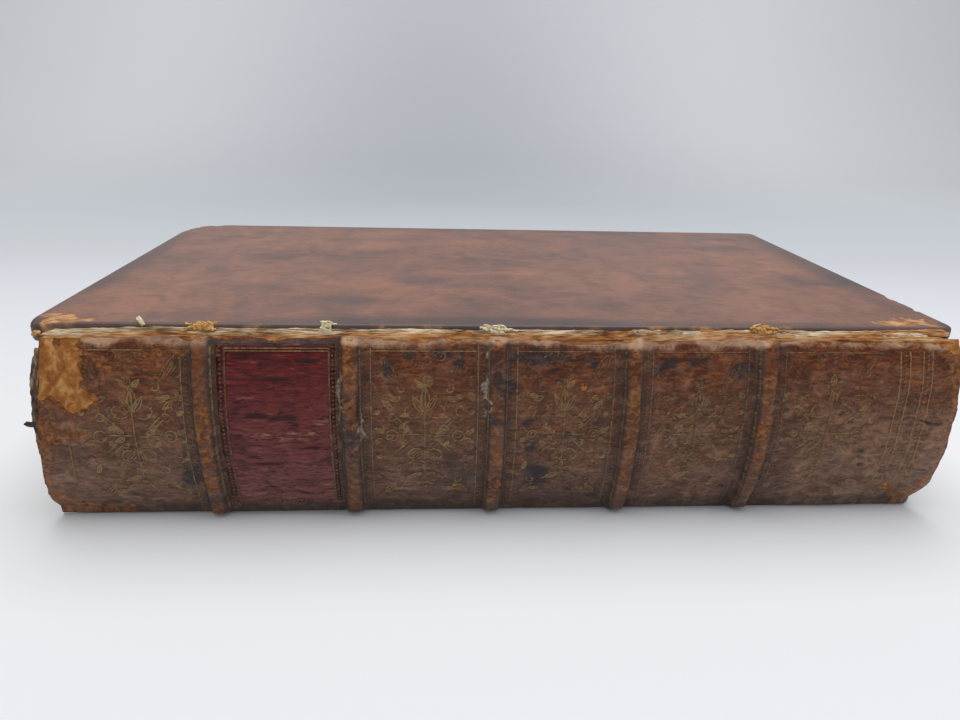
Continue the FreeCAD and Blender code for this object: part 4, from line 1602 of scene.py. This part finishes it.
@dataclass
class Frayed:
    """The broken cords and threads that stick out of the upper joint."""

    seed: int = 51
    joint_y: float = -58.55
    joint_z: float = 46.9

    def bundle(
        self, name: str, x: float, width: float, count: int, reach: float, rise: float, thick: float,
        finish: Finish,
    ) -> bpy.types.Object:
        """Strands of one broken cord, lying over the edge of the upper cover.

        Args:
            name: the piece's name.
            x: where the cord is along the back.
            width: width of the bundle.
            count: number of strands.
            reach: how far they lie over the cover.
            rise: how high they stand above the cover's edge.
            thick: radius of a strand at its root.
            finish: the fibre.

        Returns:
            The piece.
        """
        chance = np.random.default_rng(self.seed + int(abs(x) * 10))
        strands = []
        for _ in range(count):
            share = chance.uniform()
            middle = np.array([
                x + chance.normal(0, width / 4),
                self.joint_y + reach * share * chance.uniform(0.3, 1),
                self.joint_z + (1.1 + rise) * share * chance.uniform(0.7, 1.0),
            ])
            turn, tilt = chance.normal(0, 0.6), chance.normal(0, 0.28)
            way = np.array([math.cos(turn), math.sin(turn) * 0.7, math.sin(tilt) * 0.6])
            half, bow = chance.uniform(0.5, 1.2) * way, chance.normal(0, 0.22, 3)
            strands.append(Strand([middle - half, middle + bow, middle + half], thick, thick * 0.5))
        cord = strands_piece(name, strands, finish)
        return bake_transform(cord)

    def build(self, hemp: Finish, pale: Finish, dark: Finish) -> None:
        """Makes the bundles and the loose thread at the head.

        Args:
            hemp: old brown cord.
            pale: clean thread.
            dark: dirty thread.
        """
        for name, x, width, count, reach, rise, thick, finish in (
            ("frayed_cord_1", -69.6, 6.4, 44, 1.6, 0.35, 0.36, hemp),
            ("frayed_cord_3", -4.6, 5.0, 36, 0.9, 0.25, 0.28, pale),
            ("frayed_cord_5", 57.6, 5.6, 44, 1.7, 0.4, 0.36, hemp),
            ("thread_tuft_middle", -42.6, 1.8, 22, 0.5, 1.3, 0.3, pale),
        ):
            self.bundle(name, x, width, count, reach, rise, thick, finish)
        block, cover = "book_block", "upper_cover"
        for name, root, way, count, finish, body in (
            ("thread_tuft_head", (-82.2, -57.9, 47.7), ((-0.8, 0.4, 0.9), (-1.6, 1.7, 1.0)), 6, pale, cover),
            ("curled_lining", (-103.8, -58.8, 46.2), ((-0.9, -0.3, 0.0), (-1.3, -0.4, -0.8)), 3, hemp, block),
            ("thread_end", (-106.4, -62.0, 26.4), ((-1.2, -0.6, -0.6), (-2.3, -0.8, -0.2)), 6, dark, block),
        ):
            self.tuft(name, root, way, count, finish, body)

    def tuft(
        self, name: str, root: tuple[float, float, float],
        way: Sequence[tuple[float, float, float]], count: int, finish: Finish, body: str,
    ) -> bpy.types.Object:
        """A few short threads from one root.

        Args:
            name: the piece's name.
            root: where they start.
            way: steps from the root to their tips.
            count: number of threads.
            finish: the thread.
            body: what it rides on.

        Returns:
            The piece.
        """
        chance = np.random.default_rng(self.seed + count)
        strands = []
        for _ in range(count):
            off = chance.normal(0, 0.22, 3)
            route = [root, *(np.array(root) + step + off for step in way)]
            strands.append(Strand(route, 0.42, 0.26))
        made = strands_piece(name, strands, finish)
        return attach(made, body)


# The covers


class Side(Enum):
    """Which cover."""

    LOWER = "lower"
    UPPER = "upper"


@dataclass
class Cover:
    """A board in its calf: a thin slab with rubbed, rounded edges and slightly warped faces."""

    side: Side
    left: float
    right: float
    bottom: float
    top: float
    near: float = -58.0
    far: float = 58.0
    corner: float = 3.0
    worn_corner: float = 3.0
    spacing: float = 0.9
    edge_round: float = 0.85
    corner_droop: float = 1.4
    torn_places: Patches = ()
    dark_places: tuple[Spot, ...] = ()
    dark_corners: tuple[Spot, ...] = (Spot(-108.0, -58.4, 4.8, 4.8), Spot(105.2, -58.4, 4.4, 4.4))
    warp: Noise = Noise(61)
    nap: Noise = Noise(62)

    def lines(self, low: float, high: float) -> Grid:
        """Grid lines from low to high, closer together at both ends."""
        close = np.array([0, 0.12, 0.3, 0.55, 0.9, 1.4, 2.1])
        inner = np.linspace(low + 3.0, high - 3.0, int((high - low) / self.spacing))
        return np.concatenate([low + close, inner, (high - close)[::-1]])

    def plan(self) -> tuple[Grid, Grid, Grid]:
        """The grid in plan with its corners rounded, and each point's distance from the edge."""
        along, across = self.lines(self.left, self.right), self.lines(self.near, self.far)
        gx, gy = np.meshgrid(along, across, indexing="ij")
        edge = np.minimum.reduce([gx - self.left, self.right - gx, gy - self.near, self.far - gy])
        for sx, ex in ((1, self.left), (-1, self.right)):
            for sy, ey in ((1, self.near), (-1, self.far)):
                worn = self.side is Side.UPPER and (sx, sy) == (1, -1)
                r = self.worn_corner if worn else self.corner
                cx, cy = ex + sx * r, ey + sy * r
                a, b = (cx - gx) * sx, (cy - gy) * sy
                inside = (a > 0) & (b > 0)
                reach = np.maximum(np.hypot(a, b), 1e-9)
                shrink = np.where(inside, np.maximum(a, b) / reach, 1.0)
                gx = np.where(inside, cx - a * shrink * sx, gx)
                gy = np.where(inside, cy - b * shrink * sy, gy)
        return gx, gy, edge

    def fall(self, edge: Grid) -> Grid:
        """How far the surface drops towards the rounded edge."""
        inside = np.clip(self.edge_round - edge, 0, self.edge_round)
        return self.edge_round - np.sqrt(np.maximum(self.edge_round**2 - inside**2, 0))

    def torn(self, x: Grid, y: Grid) -> Grid:
        """Where the cover is worn to tan suede."""
        a = x + 3.0 * self.warp(x, y, 4, 4) + 1.2 * self.nap(x, y, 1.2, 1.2)
        b = y + 3.0 * self.warp(x + 90, y, 4, 4) + 1.2 * self.nap(x + 90, y, 1.2, 1.2)
        return patches_field(self.torn_places, a, b, 1.2)

    def wear(self, x: Grid, y: Grid, edge: Grid) -> dict[str, Grid]:
        """What the finish is told about each place.

        Args:
            x, y: places in plan.
            edge: their distance from the edge.

        Returns:
            The fields by name.
        """
        # Darker along the rounded edges; the dark places along the near edge are partly painted shade where
        # the cover meets the torn joint.
        dirt_and_shade = np.maximum(spots_field(self.dark_places, x, y, 1.5, 0.3), 0.9 * ease(1.6, 0.4, edge))
        rim = ease(1.4, 0.2, edge) * (0.22 + 0.9 * self.warp(x, y, 6, 6))
        raw = np.maximum(self.torn(x, y), rim)
        for corner in self.dark_corners if self.side is Side.UPPER else ():
            raw = raw * (1 - 0.95 * spots_field((corner,), x, y, 1, 0.5))
        return {"raw": raw, "dirt_and_shade": dirt_and_shade}

    def heights(self, x: Grid, y: Grid, edge: Grid) -> tuple[Grid, Grid]:
        """Heights of the upper and the lower face: the upper cover's top is warped, torn and bent."""
        drop = self.fall(edge)
        top, low = self.top - drop - 0.02, self.bottom + drop
        if self.side is Side.LOWER:
            return top, low
        torn = self.torn(x, y)
        wave = 0.24 * self.warp(x, y, 34, 26, 4) + 0.05 * self.nap(x, y, 5, 4)
        rough = -0.22 * torn + 0.2 * torn * self.nap(x, y, 2.0, 2.0)
        bent = ease(-102.6, -106.0, x) * ease(-53.5, -57.5, y)
        top = np.minimum(top + wave * ease(0, 4, edge) + rough, self.top + 0.1) - 0.7 * bent
        return top, low - self.corner_droop * bent

    def faces(self, nx: int, ny: int) -> list[list[int]]:
        """Faces of an upper and a lower sheet of nx by ny vertices, joined round their rim."""
        i, j = np.meshgrid(np.arange(nx - 1), np.arange(ny - 1), indexing="ij")
        a = i * ny + j
        quads = np.stack([a, a + ny, a + ny + 1, a + 1], -1).reshape(-1, 4)
        faces = quads.tolist() + (quads[:, ::-1] + nx * ny).tolist()
        rim = [k * ny for k in range(nx)] + [(nx - 1) * ny + k for k in range(1, ny)]
        rim += [k * ny + ny - 1 for k in range(nx - 2, -1, -1)] + list(range(ny - 2, 0, -1))
        return faces + [[p, p + nx * ny, q + nx * ny, q] for p, q in zip(rim, [*rim[1:], rim[0]])]

    def build(self, finish: Finish) -> bpy.types.Object:
        """Makes the cover's leather as one closed skin.

        Args:
            finish: its calf.

        Returns:
            The piece, riding on its cover.
        """
        x, y, edge = self.plan()
        sheets = [np.stack([x, y, z], -1).reshape(-1, 3) for z in self.heights(x, y, edge)]
        fields = {name: np.tile(values.ravel(), 2) for name, values in self.wear(x, y, edge).items()}
        made = piece(
            f"{self.side.value}_cover_skin", np.concatenate(sheets), self.faces(*x.shape), finish.build(),
            fields,
        )
        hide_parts(f"{self.side.value}_leather")
        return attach(made, f"{self.side.value}_cover")


# The pages


@dataclass
class TextBlock:
    """The sewn leaves: a stack of thin gatherings, each a little out of line with the next."""

    bottom: float = 3.8
    top: float = 44.4
    half_length: float = 102.0
    fore_edge: float = 54.0
    hollow: float = 3.5
    corner: float = 5.0
    joint_y: float = -58.9
    back_radius: float = 55.15
    leaf: float = 0.42
    leaf_gap: float = 0.02
    uneven: float = 0.16
    seed: int = 71
    slow: Noise = Noise(72)

    def corner_arc(self, x: float, start: float) -> list[tuple[float, float]]:
        """A rounded corner of the fore-edge about x, a quarter turn from a start angle."""
        turns, r = np.linspace(start, start + math.pi / 2, 7)[1:], self.corner
        return [(x + r * math.cos(t), self.fore_edge - r + r * math.sin(t)) for t in turns]

    def outline(self) -> tuple[Grid, Grid, Grid, Grid]:
        """The outline of a leaf.

        Returns:
            Its x and y, and how much each point follows the fore-edge and the back.
        """
        h, f, r, near = self.half_length, self.fore_edge, self.corner, self.joint_y
        x, y = np.array([
            *((k, near) for k in np.linspace(-h, h, 60)),
            *((h, k) for k in np.linspace(near, f - r, 30)[1:]),
            *self.corner_arc(h - r, 0),
            *((k, f) for k in np.linspace(h - r, -h + r, 60)[1:]),
            *self.corner_arc(-h + r, math.pi / 2),
            *((-h, k) for k in np.linspace(f - r, near, 30)[1:-1]),
        ]).T
        return x, y, ease(20, 54, y), (y < near + 0.4).astype(float)

    def build(self, finish: Finish) -> bpy.types.Object:
        """Makes the block.

        Args:
            finish: its paper.

        Returns:
            The piece, riding on the book block.
        """
        x, y, fore, spine = self.outline()
        chance = np.random.default_rng(self.seed)
        count = int((self.top - self.bottom) / self.leaf)
        levels = np.linspace(self.bottom, self.top, count + 1)
        middle, half = (self.bottom + self.top) / 2, (self.top - self.bottom) / 2
        rings = []
        for low, high in zip(levels[:-1], levels[1:]):
            dx, dy = chance.normal(0, self.uneven / 2, 2)
            z = (low + high) / 2
            curve = self.hollow * (1 - ((z - middle) / half) ** 2)
            round_back = math.sqrt(max(self.back_radius**2 - (z - BACK_AXIS_Z) ** 2, 0))
            bulge = max(round_back - BACK_AXIS_Y + self.joint_y, 0)
            nibble = 0.25 * self.slow(x, np.full_like(x, z), 14, 3) + 0.15 * self.slow(x + 60, y + z, 3, 2)
            shift = np.minimum(dx + nibble * (np.abs(x) > 60), 0.0)
            sx = np.clip(x + np.sign(x) * shift, -self.half_length, self.half_length)
            sy = y - fore * (curve + abs(dy) - nibble) - spine * bulge
            sy = np.minimum(sy, self.fore_edge)
            for level in (low + self.leaf_gap, high - self.leaf_gap):
                rings.append(np.stack([sx, sy, np.full_like(sx, level)], -1))
        made = lofted("page_block", np.stack(rings), finish, smooth=False)
        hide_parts("text_block")
        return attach(made, "book_block")


@dataclass
class Endband:
    """Coloured thread wound over a core along the head or tail of the back."""

    node: str
    x: float
    radius: float = 1.05
    arc: float = 54.1
    half_angle: float = 0.37
    wraps: int = 44
    steps_per_wrap: int = 6
    sides: int = 12

    def build(self, finish: Finish) -> bpy.types.Object:
        """Makes the band.

        Args:
            finish: its thread.

        Returns:
            The piece, riding on the book block.
        """
        steps = self.wraps * self.steps_per_wrap
        angle = np.linspace(-self.half_angle, self.half_angle, steps)
        turn = np.linspace(0, 2 * math.pi, self.sides, endpoint=False)
        angle, turn = np.meshgrid(angle, turn, indexing="ij")
        wrap = np.abs(np.sin(np.linspace(0, math.pi * self.wraps, steps)))[:, None]
        end = ease(0, 0.012, self.half_angle - np.abs(angle) + 0.004)
        radius = self.radius * (0.86 + 0.14 * wrap) * end
        reach = self.arc + radius * np.cos(turn)
        y = BACK_AXIS_Y - reach * np.cos(angle)
        z = BACK_AXIS_Z + reach * np.sin(angle)
        ring = np.stack([self.x + radius * np.sin(turn), y, z], -1)
        made = lofted(f"{self.node}_wound", ring, finish)
        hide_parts(self.node)
        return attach(made, "book_block")


# The stage


@dataclass
class Stage:
    """A pale sweep, soft lamps and the camera."""

    camera_at: tuple[float, float, float] = (-19.27, -207.67, 98.03)
    pitch: float = 21.198
    yaw: float = 4.185
    roll: float = 1.701
    focal_pixels: float = 701.0
    sweep_half_width: float = 1500.0
    sweep_near: float = -1300.0
    sweep_far: float = 620.0
    sweep_radius: float = 420.0
    sweep_height: float = 1500.0
    aim: tuple[float, float, float] = (0.0, 0.0, 0.02)

    def build(self) -> None:
        """Makes the sweep, lamps, world and camera."""
        self.sweep()
        self.lamps()
        self.camera()

    def sweep(self) -> None:
        """A floor that curves up into a backdrop."""
        profile = [(self.sweep_near, 0.0), (self.sweep_far, 0.0)]
        for t in np.linspace(0, math.pi / 2, 17)[1:]:
            y, z = self.sweep_radius * math.sin(t), self.sweep_radius * (1 - math.cos(t))
            profile.append((self.sweep_far + y, z))
        profile.append((self.sweep_far + self.sweep_radius, self.sweep_height))
        points = [(x, y, z) for x in (-self.sweep_half_width, self.sweep_half_width) for y, z in profile]
        n = len(profile)
        faces = [[n + k, n + k + 1, k + 1, k] for k in range(n - 1)]
        piece("sweep", np.array(points), faces, Sweep().build())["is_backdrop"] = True

    def lamps(self) -> None:
        """Large soft lamps over and before the book, and a pale world."""
        for name, at, size, power, colour in (
            ("lamp_over", (0.0, 0.1, 1.1), 1.2, 12.5, "#FFFFFF"),
            ("lamp_front", (-0.3, -1.0, 0.8), 0.9, 1.6, "#FFFFFF"),
            ("lamp_side", (0.95, -0.25, 0.6), 0.7, 1.2, "#F4F7FF"),
        ):
            data = bpy.data.lights.new(name, "AREA")
            data.size, data.energy, data.color = size, power, linear(colour)[:3]
            lamp = bpy.data.objects.new(name, data)
            lamp.location = at
            way = Vector(self.aim) - lamp.location
            lamp.rotation_euler = way.to_track_quat("-Z", "Y").to_euler()
            bpy.context.collection.objects.link(lamp)
        world = bpy.data.worlds.new("studio")
        world.use_nodes = True
        background = world.node_tree.nodes["Background"]
        background.inputs[0].default_value = linear("#DDE3EC")
        background.inputs[1].default_value = 0.36
        bpy.context.scene.world = world
        bpy.context.scene.view_settings.view_transform = "Standard"

    def camera(self) -> None:
        """The camera, where the photograph was taken from."""
        pitch, yaw, roll = (math.radians(a) for a in (self.pitch, self.yaw, self.roll))
        ahead = Vector((math.sin(yaw) * math.cos(pitch), math.cos(yaw) * math.cos(pitch), -math.sin(pitch)))
        right = Vector((math.cos(yaw), -math.sin(yaw), 0))
        up = right.cross(ahead)
        tilt = Matrix.Rotation(-roll, 3, ahead)
        right, up = tilt @ right, tilt @ up
        data = bpy.data.cameras.new("camera")
        data.sensor_width, data.sensor_fit = SENSOR_WIDTH, "HORIZONTAL"
        data.lens = self.focal_pixels / PHOTO_WIDTH * SENSOR_WIDTH
        data.clip_start = 0.01
        camera = bpy.data.objects.new("camera", data)
        columns = Matrix((right, up, -ahead)).transposed().to_4x4()
        camera.matrix_world = Matrix.Translation(Vector(self.camera_at) * METRES) @ columns
        bpy.context.collection.objects.link(camera)
        bpy.context.scene.camera = camera


def dress_carried_nodes(finishes: dict[str, Finish]) -> None:
    """Gives each CAD node that stays its finish.

    Args:
        finishes: the finish for each beginning of a node's name.
    """
    made = {}
    for name, obj in frame["nodes"].items():
        for key, finish in finishes.items():
            if key in name and not obj.hide_render:
                if key not in made:
                    made[key] = finish.build()
                for slot in obj.material_slots:
                    slot.link = "OBJECT"
                    slot.material = made[key]
                LOG.info("%s: %s", name, finish.name)


def main() -> None:
    """Builds the book from the stage to the covers, and reports each piece."""
    logging.basicConfig(level=logging.INFO, format="%(message)s")
    Stage().build()

    back = Back()
    hemp = Fibre("hemp_cord", colours=("#7C4A20", "#B8813F", "#DDB274"), streak_mm=(1.2, 1.2, 0.5))
    pale = Fibre("pale_linen_thread", colours=("#B49B70", "#E0CDA6", "#F3E8CE"), streak_mm=(1.0, 1.0, 0.5))
    dirty = Fibre("dirty_thread", colours=("#1F1B1C", "#332A28", "#4E4038"), streak_mm=(1.0, 1.0, 0.5))
    flesh = Fibre(
        "split_calf", Place.LAID, colours=("#6E3818", "#B2743C", "#E2B684"), streak_mm=(3.6, 0.45, 0.6)
    )
    # The lining's darkest colour is painted shade between its pale streaks.
    lining = Fibre(
        "torn_paper_lining", Place.LAID, colours=("#523620", "#B08F66", "#F6E4C4"), streak_mm=(3.4, 0.3, 0.5)
    )
    turned = Fibre(
        "dirty_turned_in_calf", colours=("#2A1C17", "#5C4436", "#A08566"), streak_mm=(0.8, 2.6, 2.2)
    )
    gilt = WornGilt()
    back.build(BackCalf())
    Tooling(back).build(gilt)
    Label(back).build(Morocco(), gilt)
    HeadTurnIn(back).build(turned)
    TornJoint().build(flesh, lining)
    Frayed().build(hemp, pale, dirty)

    calf = CoverCalf()
    Cover(Side.LOWER, -106.0, 106.0, 0.0, 3.3, spacing=1.8).build(calf)
    Cover(
        Side.UPPER, -107.3, 104.7, 44.9, 48.2, worn_corner=13.0,
        torn_places=(
            ((-103.6, -57.0), (-104.6, -50.0), (-98.7, -53.3), (-93.5, -55.3), (-91.6, -57.1)),
            ((85.6, -54.2), (94.1, -50.6), (102.6, -50.2), (102.0, -56.4), (96, -55.4), (90, -56.3)),
            ((105.6, -29.3), (104.4, -44.9), (103.2, -44), (103.9, -30)),
            ((-94.3, 58.5), (-108, 58.5), (-108, 42), (-106.4, 46), (-103.6, 54), (-98, 57)),
            ((-14.0, -43.4), (-12.4, -43.4), (-12.6, -42.8), (-14.0, -42.9)),
            ((-86.6, -47.1), (-84.4, -47.0), (-84.8, -46.5), (-86.6, -46.6)),
        ),
        # Dirt, with the spots along the near edge partly painted shade where the cover meets the torn joint.
        dark_places=(
            Spot(-8, -57, 62, 5.5, 0.95), Spot(-106, 0, 6, 50, 0.7), Spot(104, 10, 10, 50, 0.8),
            Spot(0, 60, 110, 8, 0.6), Spot(-39.6, -38.8, 9, 5, 0.62), Spot(-22.7, -18.8, 10, 6, 0.55),
            Spot(60, -57, 30, 3.0, 0.7), Spot(-106.5, -57.5, 3.4, 4.6, 1.0), Spot(104, -57.5, 2.6, 5, 1.0),
            Spot(10, -57.4, 13, 1.0, 1.2),
        ),
    ).build(calf)

    TextBlock().build(RagPaper("rag_paper_leaves", cloud_mm=(40, 30, 2.5), leaf_mm=0.5))
    thread = Fibre("endband_silk", colours=("#5A3A24", "#C8B084", "#8C3A2C"), streak_mm=(8, 1.1, 1.1))
    Endband("head_endband", -103.1).build(thread)
    Endband("tail_endband", 103.1).build(thread)

    dress_carried_nodes({
        "cord": hemp,
        "slip": hemp,
        "board": Fibre("rope_pasteboard", colours=("#7A6A54", "#A08C6E", "#B8A686"), streak_mm=(6, 6, 0.3)),
        "flyleaf": RagPaper("rag_paper_endleaf"),
        "pastedown": RagPaper("rag_paper_pastedown", colours=("#BCA377", "#D9C7A0")),
    })

    box = [[list(corner) for corner in corners] for corners in (CAD_BOX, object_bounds())]
    millimetres = [[round(v / METRES, 1) for v in corner] for corners in box for corner in corners]
    LOG.info("size in mm: %s", millimetres)


if __name__ == "__main__":
    main()
